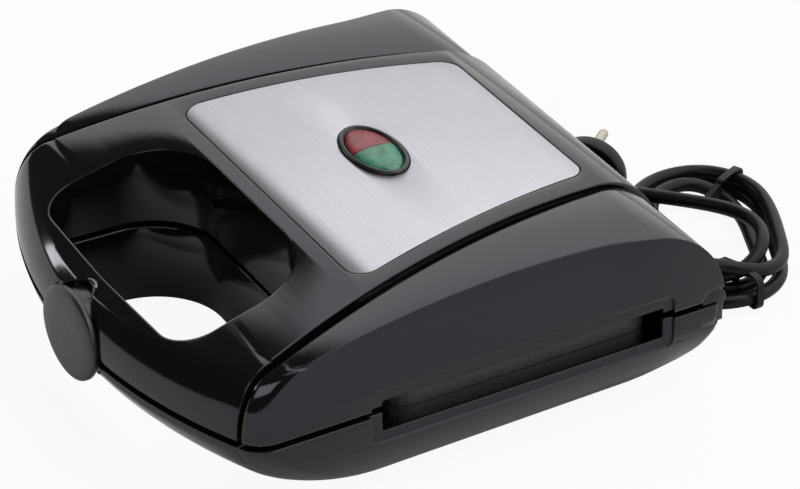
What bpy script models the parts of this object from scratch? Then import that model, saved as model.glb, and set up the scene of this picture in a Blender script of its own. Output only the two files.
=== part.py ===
"""Sandwich toaster: a hinged clamshell with two triangle-pocket heating plates.

The body rests on four feet, its front handle at -Y and its hinge at +Y. The lid turns on
two pins at the rear, and a round latch on the front handle hooks under the lower handle.
Metres, +Z up, origin on the table under the middle of the body.
"""

import math

import bmesh
import bpy
from mathutils import Matrix, Vector

# Clearance between pieces that touch, and between a pin and its bore
GAP = 0.0003

# Plan outline of the clamshell at the seam
HALF_WIDTH = 0.118
FRONT_Y = -0.126
REAR_Y = 0.1255
FRONT_BOW_RADIUS = 0.280
FRONT_CORNER_RADIUS = 0.014
REAR_CORNER_RADIUS = 0.005

# Seam between the two shells
SEAM_Z = 0.0435
SEAM_GAP = 0.0032

# Lid: crown seen from the side, draft of its side walls and rounded nose of its front
CROWN_TOP_Z = 0.0882
CROWN_TOP_Y = 0.030
CROWN_RADIUS = 0.465
REAR_ROUND_RADIUS = 0.040
SIDE_DRAFT = 0.11
NOSE_HEIGHT = 0.0295
NOSE_DEPTH = 0.0315
NOSE_FLATTENING = 0.44
DRAFT_END_Y = 0.065
FLARE_END_Y = 0.105
LID_WALL = 0.0025

# Raised spine that runs forward into the handle
SPINE_INSET = 0.0333
SPINE_TAPER = 0.196
SPINE_BOW = 0.22
SPINE_RISE = 0.0015
SPINE_THICKNESS = 0.0035
GROOVE_WIDTH = 0.0045
GROOVE_MID_Y = -0.005
GROOVE_HALF_LENGTH = 0.125
DECK_THICKNESS = 0.0024

# Handle: its rear face, and the hand-hole through both halves
HANDLE_REAR_Y = -0.0375
HOLE_REAR_Y = -0.0410
HOLE_FRONT_Y = -0.1085
HOLE_FRONT_BOW = 0.0020
HOLE_REAR_INSET = 0.0515
HOLE_FRONT_INSET = 0.0490
HOLE_REAR_RADIUS = 0.034
HOLE_FRONT_RADIUS = 0.017

# Lower shell
BASE_BOTTOM_Z = 0.0050
BASE_FLOOR = 0.0026
BASE_WALL = 0.0026
CORNER_GROWTH = 0.6
FOOT_RADIUS = 0.0085
FOOT_INSET = 0.0360
FOOT_FRONT_Y = -0.062
FOOT_REAR_Y = 0.088

# Room for the plates inside both shells
CAVITY_FRONT_Y = -0.0347

# Side openings beside the plates, with their flat frame
SLOT_FRONT_Y = -0.0415
SLOT_REAR_Y = 0.0955
SLOT_LOW_Z = 0.0325
SLOT_HIGH_Z = 0.0475
SLOT_RADIUS = 0.0010
FRAME_DEPTH = 0.0020
FRAME_FRONT_Y = -0.0475
FRAME_REAR_Y = 0.1000
FRAME_LOW_Z = 0.0275
FRAME_HIGH_Z = 0.0535
FRAME_RADIUS = 0.0035

# Heating plates
PLATE_TO_SIDE = 0.0110
PLATE_TO_SLOT = 0.0045
PLATE_FRONT_Y = -0.0325
PLATE_REAR_Y = 0.0965
PLATE_RADIUS = 0.012
PARTING_Z = 0.0335
PARTING_GAP = 0.0006
LOWER_PLATE_THICKNESS = 0.0108
UPPER_PLATE_THICKNESS = 0.0140
POCKET_DEPTH = 0.0080
POCKET_RIM = 0.0060
POCKET_RIDGE = 0.0060
POCKET_RADIUS = 0.0070
POCKET_FLOOR_SCALE = 0.72

# Heating elements, reflectors and thermostats behind the plates
ELEMENT_RADIUS = 0.0033
ELEMENT_INSET = 0.0330
ELEMENT_FRONT_Y = -0.018
ELEMENT_REAR_Y = 0.082
ELEMENT_BEND = 0.018
ELEMENT_END_X = 0.012
REFLECTOR_INSET = 0.0230
REFLECTOR_FRONT_Y = -0.027
REFLECTOR_REAR_Y = 0.091
REFLECTOR_DEPTH = 0.0095
REFLECTOR_SHEET = 0.0008
THERMOSTAT_RADIUS = 0.0080
THERMOSTAT_HEIGHT = 0.0080
THERMOSTAT_Y = 0.032
BOSS_RADIUS = 0.0040
BOSS_INSET = 0.0130
BOSS_FRONT_Y = -0.018
BOSS_REAR_Y = 0.082

# Brushed cover plate on the spine
COVER_FRONT_Y = -0.0337
COVER_REAR_Y = 0.0925
COVER_FRONT_INSET = 0.0355
COVER_REAR_INSET = 0.0610
COVER_RADIUS = 0.0090
COVER_THICKNESS = 0.0010
COVER_REVEAL = 0.0006

# Signal lamp: oval bezel and lens in the middle of the cover plate
LAMP_Y = 0.020
BEZEL_HALF_LENGTH = 0.0230
BEZEL_HALF_WIDTH = 0.0127
BEZEL_RISE = 0.0012
LENS_HALF_LENGTH = 0.0194
LENS_HALF_WIDTH = 0.0098
LENS_DOME = 0.0024
LENS_SKIRT = 0.0030
NEON_RADIUS = 0.0028
NEON_LENGTH = 0.0120
NEON_X = 0.0085
HOLDER_HEIGHT = 0.0110
HOLDER_WALL = 0.0016

# Hinge at the rear
HINGE_Y = 0.1210
HINGE_Z = 0.0435
BARREL_RADIUS = 0.0060
BARREL_INSET = 0.0342
KNUCKLE_LENGTH = 0.0140
LUG_INSET = 0.0012
HINGE_RELIEF = 0.0008
REAR_EDGE_RISE = 0.0064
PIN_RADIUS = 0.0020
PIN_IN_BARREL = 0.0058
PIN_INSET = 0.0060

# Latch on the front handle
LATCH_RADIUS = 0.0220
LATCH_Z = 0.0445
LATCH_BACK_Y = -0.1205
LATCH_RIM_Y = -0.1238
LATCH_FRONT_Y = -0.1288
LATCH_CLEARANCE = 0.0008
LATCH_CHAMFER = 0.0016
RECESS_BACK_Y = -0.1138
LATCH_PIVOT_Y = -0.1173
LATCH_PIVOT_Z = 0.0600
LATCH_HUB_RADIUS = 0.0028
LATCH_HUB_HALF_LENGTH = 0.0120
LATCH_WEB_STEP = 0.0005
LATCH_PIN_RADIUS = 0.0014
LATCH_PIN_HALF_LENGTH = 0.0195
HOOK_HALF_WIDTH = 0.0070
HOOK_LOW_Z = 0.0246
HOOK_HIGH_Z = 0.0276
HOOK_BACK_Y = -0.1144
CATCH_HALF_WIDTH = 0.0105
CATCH_FRONT_Y = -0.1178
CATCH_HEIGHT = 0.0045

# Mains lead: strain relief, free lead, hank held by two ties, and plug
CORD_RADIUS = 0.0033
GLAND_X = 0.0600
GLAND_Z = 0.0220
GLAND_FLANGE_RADIUS = 0.0080
GLAND_FLANGE_THICKNESS = 0.0022
GLAND_NECK_RADIUS = 0.0060
GLAND_TIP_RADIUS = 0.0050
GLAND_TIP_Y = 0.1460
LEAD_ROUTE = (
    (0.0600, 0.1235, GLAND_Z),
    (0.0600, 0.1465, GLAND_Z),
    (0.0603, 0.1500, 0.0217),
    (0.0610, 0.1535, 0.0208),
    (0.0620, 0.1570, 0.0199),
    (0.0628, 0.1605, 0.0193),
)
HANK_CENTRE = (0.0245, 0.1783)
HANK_ANGLE = math.radians(-22.0)
HANK_BEND = 0.0262
HANK_HALF_STRAIGHT = 0.0203
HANK_WIDTH = 0.0170
HANK_LOW_Z = 0.0018
HANK_HEIGHT = 0.0138
TIE_THICKNESS = 0.0012
TIE_WIDTH = 0.0035
TIE_BOW_SHARE = 0.01
TIE_FAR_ANGLE = math.radians(136.0)
TIE_NEAR_ANGLE = math.radians(23.0)
PLUG_CENTRE = (-0.0340, 0.1496)
PLUG_AXIS = (-0.63, 0.78, 0.0)
PLUG_RADIUS = 0.0180
PLUG_FACE_THICKNESS = 0.0080
PLUG_BODY_LENGTH = 0.0160
PLUG_GRIP_LENGTH = 0.0150
PLUG_GRIP_RADIUS = 0.0065
PLUG_GRIP_END_RADIUS = 0.0042
PLUG_PIN_RADIUS = 0.0024
PLUG_PIN_LENGTH = 0.0190
PLUG_PIN_ROOT = 0.0040
PLUG_PIN_SPACING = 0.0190

LID_BOTTOM_Z = SEAM_Z + SEAM_GAP / 2
BASE_TOP_Z = SEAM_Z - SEAM_GAP / 2
PLATE_TOP_Z = PARTING_Z - PARTING_GAP / 2
UPPER_PLATE_BOTTOM_Z = PARTING_Z + PARTING_GAP / 2
LOWER_PLATE_BACK_Z = PLATE_TOP_Z - LOWER_PLATE_THICKNESS
UPPER_PLATE_BACK_Z = UPPER_PLATE_BOTTOM_Z + UPPER_PLATE_THICKNESS
FAR = 0.05
SPINE_HALF_WIDTH = HALF_WIDTH - SPINE_INSET
HOLE_REAR_HALF_WIDTH = HALF_WIDTH - HOLE_REAR_INSET
HOLE_FRONT_HALF_WIDTH = HALF_WIDTH - HOLE_FRONT_INSET
FOOT_X = HALF_WIDTH - FOOT_INSET
FRAME_PLANE_X = HALF_WIDTH - FRAME_DEPTH
PLATE_HALF_WIDTH = HALF_WIDTH - PLATE_TO_SIDE
ELEMENT_HALF_WIDTH = PLATE_HALF_WIDTH - ELEMENT_INSET
REFLECTOR_HALF_WIDTH = PLATE_HALF_WIDTH - REFLECTOR_INSET
BOSS_X = PLATE_HALF_WIDTH - BOSS_INSET
COVER_FRONT_HALF_WIDTH = HALF_WIDTH - COVER_FRONT_INSET
COVER_REAR_HALF_WIDTH = HALF_WIDTH - COVER_REAR_INSET
BARREL_HALF_LENGTH = HALF_WIDTH - BARREL_INSET
KNUCKLE_START_X = BARREL_HALF_LENGTH + GAP
KNUCKLE_END_X = KNUCKLE_START_X + KNUCKLE_LENGTH
LUG_START_X = KNUCKLE_END_X + GAP
LUG_END_X = HALF_WIDTH - LUG_INSET
PIN_START_X = BARREL_HALF_LENGTH - PIN_IN_BARREL
PIN_END_X = HALF_WIDTH - PIN_INSET
WIDE = HALF_WIDTH + FAR
HIGH = CROWN_TOP_Z + FAR

FINISHES = {
    "gloss_black": ((0.030, 0.030, 0.033), 0.18, 0.0),
    "satin_black": ((0.045, 0.045, 0.048), 0.42, 0.0),
    "inner_grey": ((0.060, 0.060, 0.064), 0.55, 0.0),
    "brushed_steel": ((0.62, 0.62, 0.65), 0.34, 1.0),
    "cast_aluminium": ((0.035, 0.034, 0.034), 0.48, 0.2),
    "bright_steel": ((0.55, 0.55, 0.56), 0.30, 1.0),
    "red_lens": ((0.45, 0.03, 0.04), 0.15, 0.0),
    "green_lens": ((0.05, 0.33, 0.22), 0.15, 0.0),
    "neon_glass": ((0.80, 0.55, 0.35), 0.10, 0.0),
    "ceramic": ((0.70, 0.67, 0.60), 0.60, 0.0),
    "rubber": ((0.020, 0.020, 0.022), 0.70, 0.0),
    "brass": ((0.60, 0.45, 0.20), 0.35, 1.0),
}


def clear_scene():
    """Empty the file, so that the toaster stands alone in it."""
    for item in list(bpy.data.objects):
        bpy.data.objects.remove(item, do_unlink=True)
    for group in list(bpy.data.collections):
        bpy.data.collections.remove(group)


def new_collection(name):
    group = bpy.data.collections.new(name)
    bpy.context.scene.collection.children.link(group)
    return group


def finish(name, slot):
    """A Principled material of a node's own, in one of the toaster's finishes."""
    colour, roughness, metallic = FINISHES[slot]
    made = bpy.data.materials.new(name)
    made.use_nodes = True
    shader = made.node_tree.nodes["Principled BSDF"]
    shader.inputs["Base Color"].default_value = (*colour, 1.0)
    shader.inputs["Roughness"].default_value = roughness
    shader.inputs["Metallic"].default_value = metallic
    made.diffuse_color = (*colour, 1.0)
    return made


def add_part(name, mesh, slot):
    part = bpy.data.objects.new(name, mesh)
    mesh.materials.append(finish(name, slot))
    PARTS.objects.link(part)
    return part


def add_cutter(name, mesh):
    tool = bpy.data.objects.new(name, mesh)
    tool.hide_render = True
    tool.display_type = "WIRE"
    CUTTERS.objects.link(tool)
    return tool


def combine(part, tool, operation):
    """Add a live Boolean to a part: DIFFERENCE, UNION or INTERSECT with the tool."""
    step = part.modifiers.new(tool.name, "BOOLEAN")
    step.operation = operation
    step.solver = "EXACT"
    step.object = tool
    return step


def cut(part, *tools):
    for tool in tools:
        combine(part, tool, "DIFFERENCE")


def join(part, *tools):
    for tool in tools:
        combine(part, tool, "UNION")


def loft(name, rings):
    """Closed solid through rings that all have the same number of points."""
    mesh = bpy.data.meshes.new(name)
    shape = bmesh.new()
    loops = [[shape.verts.new(point) for point in ring] for ring in rings]
    count = len(loops[0])
    for low, high in zip(loops, loops[1:]):
        for i in range(count):
            j = (i + 1) % count
            shape.faces.new((low[i], low[j], high[j], high[i]))
    shape.faces.new(loops[0])
    shape.faces.new(loops[-1])
    bmesh.ops.recalc_face_normals(shape, faces=shape.faces)
    shape.to_mesh(mesh)
    shape.free()
    mesh.set_sharp_from_angle(angle=math.radians(35))
    return mesh


def prism_x(name, profile, x_low, x_high):
    """A (y, z) profile extruded along X."""
    return loft(name, [[(x, y, z) for y, z in profile] for x in (x_low, x_high)])


def prism_z(name, outline, z_low, z_high):
    """An (x, y) outline extruded along Z."""
    return loft(name, [[(x, y, z) for x, y in outline] for z in (z_low, z_high)])


def box(name, low, high):
    """A box between two corners, made from a unit cube."""
    mesh = bpy.data.meshes.new(name)
    shape = bmesh.new()
    bmesh.ops.create_cube(shape, size=1.0)
    size = Vector(high) - Vector(low)
    middle = (Vector(high) + Vector(low)) / 2
    bmesh.ops.transform(
        shape, matrix=Matrix.Translation(middle) @ Matrix.Diagonal((*size, 1.0)), verts=shape.verts
    )
    shape.to_mesh(mesh)
    shape.free()
    return mesh


def rod(name, start, end, radius, end_radius=None, segments=32):
    """A cylinder or cone between two points."""
    mesh = bpy.data.meshes.new(name)
    start, end = Vector(start), Vector(end)
    shape = bmesh.new()
    bmesh.ops.create_cone(
        shape, cap_ends=True, segments=segments, radius1=radius,
        radius2=radius if end_radius is None else end_radius, depth=(end - start).length,
    )
    turn = (end - start).to_track_quat("Z", "Y").to_matrix().to_4x4()
    bmesh.ops.transform(
        shape, matrix=Matrix.Translation((start + end) / 2) @ turn, verts=shape.verts
    )
    shape.to_mesh(mesh)
    shape.free()
    mesh.set_sharp_from_angle(angle=math.radians(35))
    return mesh


def oval(half_length, half_width, centre, segments=40):
    """Points of an ellipse in plan, longest along X."""
    turns = [2 * math.pi * i / segments for i in range(segments)]
    return [
        (centre[0] + half_length * math.cos(turn), centre[1] + half_width * math.sin(turn))
        for turn in turns
    ]


def arc(centre, radius, start, end, segments):
    """Points on a circle from one angle to another, both ends included."""
    angles = [start + (end - start) * i / segments for i in range(segments + 1)]
    return [
        (centre[0] + radius * math.cos(angle), centre[1] + radius * math.sin(angle))
        for angle in angles
    ]


def filleted(corners, segments=5):
    """Outline through (a, b, radius) corners, each rounded by an arc of its radius."""
    outline = []
    count = len(corners)
    for i, (a, b, radius) in enumerate(corners):
        here = Vector((a, b))
        back = (Vector(corners[i - 1][:2]) - here).normalized()
        ahead = (Vector(corners[(i + 1) % count][:2]) - here).normalized()
        half = back.angle(ahead) / 2
        if radius == 0 or half > math.radians(89.5):
            outline.append((a, b))
            continue
        centre = here + (back + ahead).normalized() * radius / math.sin(half)
        first = here + back * radius / math.tan(half) - centre
        last = here + ahead * radius / math.tan(half) - centre
        start = math.atan2(first.y, first.x)
        sweep = math.atan2(last.y, last.x) - start
        sweep = (sweep + math.pi) % (2 * math.pi) - math.pi
        outline += arc(centre, radius, start, start + sweep, segments)
    return outline


def mirrored(half):
    """Close a plan outline from its +X half, given from the front middle to the rear."""
    left = [(-x, y) for x, y in reversed(half) if x > 1e-6]
    return half + left


def plan_outline(
    side_inset, front_inset, rear_inset, rear_radius,
    bow_radius=FRONT_BOW_RADIUS, corner_radius=FRONT_CORNER_RADIUS, flared=False,
):
    """Body seen from above: bowed front, round front corners and a straight rear edge.

    A flared outline gives its side inset up towards the rear.
    """
    half_width = HALF_WIDTH - side_inset
    bow_centre_y = FRONT_Y + front_inset + bow_radius
    corner_x = half_width - corner_radius
    reach = bow_radius - corner_radius
    corner_y = bow_centre_y - math.sqrt(reach**2 - corner_x**2)
    tangent = math.atan2(corner_y - bow_centre_y, corner_x)
    half = arc((0.0, bow_centre_y), bow_radius, -math.pi / 2, tangent, 8)
    half += arc((corner_x, corner_y), corner_radius, tangent, 0.0, 8)[1:]
    rear_y = REAR_Y - rear_inset
    if flared:
        steps = 6
        for i in range(steps + 1):
            share = i / steps
            eased = share * share * (3 - 2 * share)
            y = DRAFT_END_Y + (FLARE_END_Y - DRAFT_END_Y) * share
            half.append((HALF_WIDTH - side_inset * (1 - eased), y))
        half_width = HALF_WIDTH
    rear_centre = (half_width - rear_radius, rear_y - rear_radius)
    half += arc(rear_centre, rear_radius, 0.0, math.pi / 2, 4)
    half.append((0.0, rear_y))
    return mirrored(half)


def rear_round_centre():
    """Centre of the round that joins the crown to the rear face."""
    y = REAR_Y - REAR_ROUND_RADIUS
    reach = CROWN_RADIUS - REAR_ROUND_RADIUS
    z = CROWN_TOP_Z - CROWN_RADIUS + math.sqrt(reach**2 - (y - CROWN_TOP_Y) ** 2)
    return y, z


def crown_height(y, offset=0.0):
    """Height of the crown surface at y, with the surface moved outward by offset."""
    if y < rear_round_centre()[0]:
        reach = math.sqrt((CROWN_RADIUS + offset) ** 2 - (y - CROWN_TOP_Y) ** 2)
        return CROWN_TOP_Z - CROWN_RADIUS + reach
    centre_y, centre_z = rear_round_centre()
    return centre_z + math.sqrt((REAR_ROUND_RADIUS + offset) ** 2 - (y - centre_y) ** 2)


def crown_profile(offset, front_y, low_z):
    """Side view of what lies under the crown, from front_y back to the rear face."""
    centre_y, centre_z = rear_round_centre()
    steps = 16
    points = [
        (y, crown_height(y, offset))
        for y in (front_y + (centre_y - front_y) * i / steps for i in range(steps))
    ]
    start = math.atan2(
        centre_z - (CROWN_TOP_Z - CROWN_RADIUS), centre_y - CROWN_TOP_Y
    )
    points += arc((centre_y, centre_z), REAR_ROUND_RADIUS + offset, start, 0.0, 12)
    points += [(REAR_Y + offset, low_z), (front_y, low_z)]
    return points


def spine_half_width(y):
    return SPINE_HALF_WIDTH - SPINE_TAPER * y + SPINE_BOW * y * y


def groove_width(y):
    share = (y - GROOVE_MID_Y) / GROOVE_HALF_LENGTH
    return max(GROOVE_WIDTH * (1 - share**4), 3 * GAP)


def spine_outline(with_groove, extra=0.0, front_y=FRONT_Y - FAR):
    """Plan of the spine, or of the spine with the groove around it."""
    steps = 24
    rear_y = REAR_Y + FAR
    half = [(0.0, front_y)]
    for i in range(steps + 1):
        y = front_y + (rear_y - front_y) * i / steps
        width = spine_half_width(min(y, REAR_Y))
        if with_groove:
            width += groove_width(y)
        half.append((width + extra, y))
    half.append((0.0, rear_y))
    return mirrored(half)


def hand_hole_outline():
    """Rounded hand-hole, with its front edge bowed like the handle's."""
    right = [
        (0.0, HOLE_FRONT_Y - HOLE_FRONT_BOW, 0.0),
        (HOLE_FRONT_HALF_WIDTH, HOLE_FRONT_Y, HOLE_FRONT_RADIUS),
        (HOLE_REAR_HALF_WIDTH, HOLE_REAR_Y, HOLE_REAR_RADIUS),
    ]
    left = [(-x, y, radius) for x, y, radius in reversed(right[1:])]
    return filleted(right + left, segments=8)


def rounded_rectangle(low, high, radius, segments=5):
    corners = [
        (low[0], low[1], radius),
        (high[0], low[1], radius),
        (high[0], high[1], radius),
        (low[0], high[1], radius),
    ]
    return filleted(corners, segments)


def side_names():
    return (("left", -1), ("right", 1))


def side_cutters():
    """The flat frame and the opening through it, on both sides and across the seam."""
    tools = []
    frame = rounded_rectangle(
        (FRAME_FRONT_Y, FRAME_LOW_Z), (FRAME_REAR_Y, FRAME_HIGH_Z), FRAME_RADIUS
    )
    slot = rounded_rectangle((SLOT_FRONT_Y, SLOT_LOW_Z), (SLOT_REAR_Y, SLOT_HIGH_Z), SLOT_RADIUS, 2)
    inner_x = PLATE_HALF_WIDTH + PLATE_TO_SLOT
    for side, sign in side_names():
        outer = sign * (HALF_WIDTH + FAR)
        mesh = prism_x(f"frame_{side}_cut", frame, sign * FRAME_PLANE_X, outer)
        tools.append(add_cutter(f"frame_{side}_cut", mesh))
        mesh = prism_x(f"slot_{side}_cut", slot, sign * inner_x, outer)
        tools.append(add_cutter(f"slot_{side}_cut", mesh))
    return tools


def lid_outline(height, nose_share, rear_inset):
    """Plan of the lid at a height above its edge, with the front drawn in by a share of the nose."""
    bow_radius = FRONT_BOW_RADIUS / (1 - NOSE_FLATTENING * nose_share)
    return plan_outline(
        SIDE_DRAFT * height, NOSE_DEPTH * nose_share, rear_inset, REAR_CORNER_RADIUS,
        bow_radius=bow_radius, flared=True,
    )


def lid_rings():
    """Plan outlines of the lid from the seam up, drafted at the sides and rounded in front."""
    rings = []
    steps = 7
    past_rear = -FAR / 5
    for i in range(steps + 1):
        angle = math.pi / 2 * i / steps
        height = NOSE_HEIGHT * math.sin(angle)
        share = 1 - math.cos(angle)
        outline = lid_outline(height, share, past_rear)
        rings.append([(x, y, LID_BOTTOM_Z + height) for x, y in outline])
    top = CROWN_TOP_Z - LID_BOTTOM_Z + FAR / 4
    outline = lid_outline(top, 1.0, past_rear)
    rings.append([(x, y, LID_BOTTOM_Z + top) for x, y in outline])
    return rings


def lid_hull(name, offset, slot):
    """Outer form of the lid, with the crown moved outward by offset."""
    hull = add_part(name, loft(name, lid_rings()), slot)
    front = FRONT_Y - 0.030
    profile = crown_profile(offset, front, LID_BOTTOM_Z - 0.010)
    crown = add_cutter(f"{name}_crown", prism_x(f"{name}_crown", profile, -WIDE, WIDE))
    combine(hull, crown, "INTERSECT")
    return hull


def deck_block(name, offset, front_y):
    """Space under the spine, behind the handle."""
    profile = crown_profile(offset, front_y, LID_BOTTOM_Z - 0.020)
    return add_cutter(name, prism_x(name, profile, -WIDE, WIDE))


def lamp_well(name, extra, low_z):
    """Oval shaft through the spine for the signal lamp."""
    outline = oval(BEZEL_HALF_LENGTH + extra, BEZEL_HALF_WIDTH + extra, (0.0, LAMP_Y))
    return add_cutter(name, prism_z(name, outline, low_z, HIGH))


def hinge_bore(name, radius, start_x, end_x, segments=24):
    """A cutter on the hinge axis, on both sides of the middle."""
    made = []
    for side, sign in side_names():
        mesh = rod(
            f"{name}_{side}", (sign * start_x, HINGE_Y, HINGE_Z), (sign * end_x, HINGE_Y, HINGE_Z),
            radius, segments=segments,
        )
        made.append(add_cutter(f"{name}_{side}", mesh))
    return made


def lid_reliefs(name):
    """Room in the lid mouldings for the hinge barrel, and for the base's wall when the lid is up."""
    radius = BARREL_RADIUS + HINGE_RELIEF
    mesh = rod(f"{name}_round", (-WIDE, HINGE_Y, HINGE_Z), (WIDE, HINGE_Y, HINGE_Z), radius)
    round_room = add_cutter(f"{name}_round", mesh)
    low = (-WIDE, HINGE_Y, LID_BOTTOM_Z - FAR)
    high = (WIDE, REAR_Y + FAR, HINGE_Z + REAR_EDGE_RISE)
    return round_room, add_cutter(f"{name}_edge", box(f"{name}_edge", low, high))


def latch_recess():
    mesh = rod(
        "latch_recess_cut", (0.0, RECESS_BACK_Y, LATCH_Z), (0.0, FRONT_Y - FAR, LATCH_Z),
        LATCH_RADIUS + LATCH_CLEARANCE, segments=48,
    )
    return add_cutter("latch_recess_cut", mesh)


def make_lid_shell(side_tools):
    """Lid moulding: both wings, the deck under the spine, hinge knuckles and plate bosses."""
    shell = lid_hull("lid_shell", 0.0, "gloss_black")
    deck = SPINE_RISE - SPINE_THICKNESS - GAP
    channel = prism_z("spine_channel_cut", spine_outline(True), LID_BOTTOM_Z - FAR, HIGH)
    channel = add_cutter("spine_channel_cut", channel)
    cut(channel, deck_block("deck_kept", deck, HANDLE_REAR_Y + GAP))
    cut(shell, channel)

    under_deck = crown_profile(deck - DECK_THICKNESS, CAVITY_FRONT_Y, LID_BOTTOM_Z - FAR)
    drafted = [
        [(x, y, z) for x, y in rounded_rectangle((-half, CAVITY_FRONT_Y), (half, REAR_Y), 0.004)]
        for half, z in (
            (HALF_WIDTH - LID_WALL, LID_BOTTOM_Z - 0.001),
            (HALF_WIDTH - LID_WALL - SIDE_DRAFT * 0.05, LID_BOTTOM_Z + 0.049),
        )
    ]
    cavity = add_cutter("lid_cavity_cut", loft("lid_cavity_cut", drafted))
    roof = add_cutter("lid_cavity_roof", prism_x("lid_cavity_roof", under_deck, -WIDE, WIDE))
    combine(cavity, roof, "INTERSECT")
    cut(shell, cavity)

    wings = add_cutter("wing_cavity_cut", loft("wing_cavity_cut", drafted))
    under_wings = crown_profile(-LID_WALL, CAVITY_FRONT_Y, LID_BOTTOM_Z - FAR)
    roof = add_cutter("wing_cavity_roof", prism_x("wing_cavity_roof", under_wings, -WIDE, WIDE))
    combine(wings, roof, "INTERSECT")
    middle = spine_outline(True, extra=LID_WALL)
    middle = prism_z("wing_cavity_middle", middle, LID_BOTTOM_Z - FAR, HIGH)
    cut(wings, add_cutter("wing_cavity_middle", middle))
    cut(shell, wings)

    bosses = []
    for side, sign in side_names():
        for end, y in (("front", BOSS_FRONT_Y), ("rear", BOSS_REAR_Y)):
            name = f"lid_boss_{end}_{side}"
            top = crown_height(y, -LID_WALL / 2)
            x = sign * BOSS_X
            mesh = rod(name, (x, y, UPPER_PLATE_BACK_Z + GAP), (x, y, top), BOSS_RADIUS)
            bosses.append(add_cutter(name, mesh))
    join(shell, *bosses)

    cut(shell, *side_tools)
    cut(shell, *lid_reliefs("lid_relief"))
    for side, sign in side_names():
        name = f"lid_knuckle_{side}"
        start, end = sign * (KNUCKLE_START_X + GAP), sign * (KNUCKLE_END_X - GAP)
        mesh = rod(name, (start, HINGE_Y, HINGE_Z), (end, HINGE_Y, HINGE_Z), BARREL_RADIUS)
        knuckle = add_cutter(name, mesh)
        low = (min(start, end) + GAP, HINGE_Y - BARREL_RADIUS + 2 * GAP, HINGE_Z)
        high = (max(start, end) - GAP, REAR_Y - 0.0010, HINGE_Z + BARREL_RADIUS + 0.004)
        web = add_cutter(f"lid_web_{side}", box(f"lid_web_{side}", low, high))
        join(shell, web, knuckle)
    cut(shell, *hinge_bore("lid_pin_bore", PIN_RADIUS + GAP, KNUCKLE_START_X - 0.002, KNUCKLE_END_X + 0.002))
    cut(shell, lamp_well("deck_lamp_cut", 0.0010, CROWN_TOP_Z - 0.020))
    return shell


def make_lid_spine():
    """Top moulding: the raised spine and the upper half of the handle."""
    spine = lid_hull("lid_spine", SPINE_RISE, "gloss_black")
    plan = prism_z("spine_plan", spine_outline(False), LID_BOTTOM_Z - FAR, HIGH)
    combine(spine, add_cutter("spine_plan", plan), "INTERSECT")
    cut(spine, deck_block("spine_underside_cut", SPINE_RISE - SPINE_THICKNESS, HANDLE_REAR_Y))
    cut(spine, HAND_HOLE, RECESS)
    cut(spine, *lid_reliefs("spine_relief"))

    seat = cover_outline(COVER_REVEAL)
    pocket = add_cutter("cover_seat_cut", prism_z("cover_seat_cut", seat, CROWN_TOP_Z - FAR, HIGH))
    depth = SPINE_RISE - COVER_THICKNESS - GAP
    below = crown_profile(depth, FRONT_Y, CROWN_TOP_Z - 2 * FAR)
    cut(pocket, add_cutter("cover_seat_floor", prism_x("cover_seat_floor", below, -WIDE, WIDE)))
    cut(spine, pocket)
    cut(spine, lamp_well("spine_lamp_cut", 0.0, CROWN_TOP_Z - FAR))
    pin = rod(
        "latch_pin_bore", (-LATCH_PIN_HALF_LENGTH - GAP, LATCH_PIVOT_Y, LATCH_PIVOT_Z),
        (LATCH_PIN_HALF_LENGTH + GAP, LATCH_PIVOT_Y, LATCH_PIVOT_Z), LATCH_PIN_RADIUS + GAP,
        segments=24,
    )
    cut(spine, add_cutter("latch_pin_bore", pin))
    return spine


def cover_outline(extra):
    corners = [
        (COVER_FRONT_HALF_WIDTH + extra, COVER_FRONT_Y - extra, COVER_RADIUS + extra),
        (COVER_REAR_HALF_WIDTH + extra, COVER_REAR_Y + extra, COVER_RADIUS + extra),
        (-COVER_REAR_HALF_WIDTH - extra, COVER_REAR_Y + extra, COVER_RADIUS + extra),
        (-COVER_FRONT_HALF_WIDTH - extra, COVER_FRONT_Y - extra, COVER_RADIUS + extra),
    ]
    return filleted(corners, 6)


def make_cover_plate():
    """Brushed plate that follows the crown, with the oval lamp opening."""
    plate = prism_z("cover_plate", cover_outline(0.0), CROWN_TOP_Z - FAR, HIGH)
    plate = add_part("cover_plate", plate, "brushed_steel")
    above = crown_profile(SPINE_RISE, FRONT_Y, CROWN_TOP_Z - 2 * FAR)
    combine(plate, add_cutter("cover_top", prism_x("cover_top", above, -WIDE, WIDE)), "INTERSECT")
    below = crown_profile(SPINE_RISE - COVER_THICKNESS, FRONT_Y, CROWN_TOP_Z - 2 * FAR)
    cut(plate, add_cutter("cover_underside", prism_x("cover_underside", below, -WIDE, WIDE)))
    cut(plate, lamp_well("cover_lamp_cut", GAP, CROWN_TOP_Z - FAR))


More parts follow.
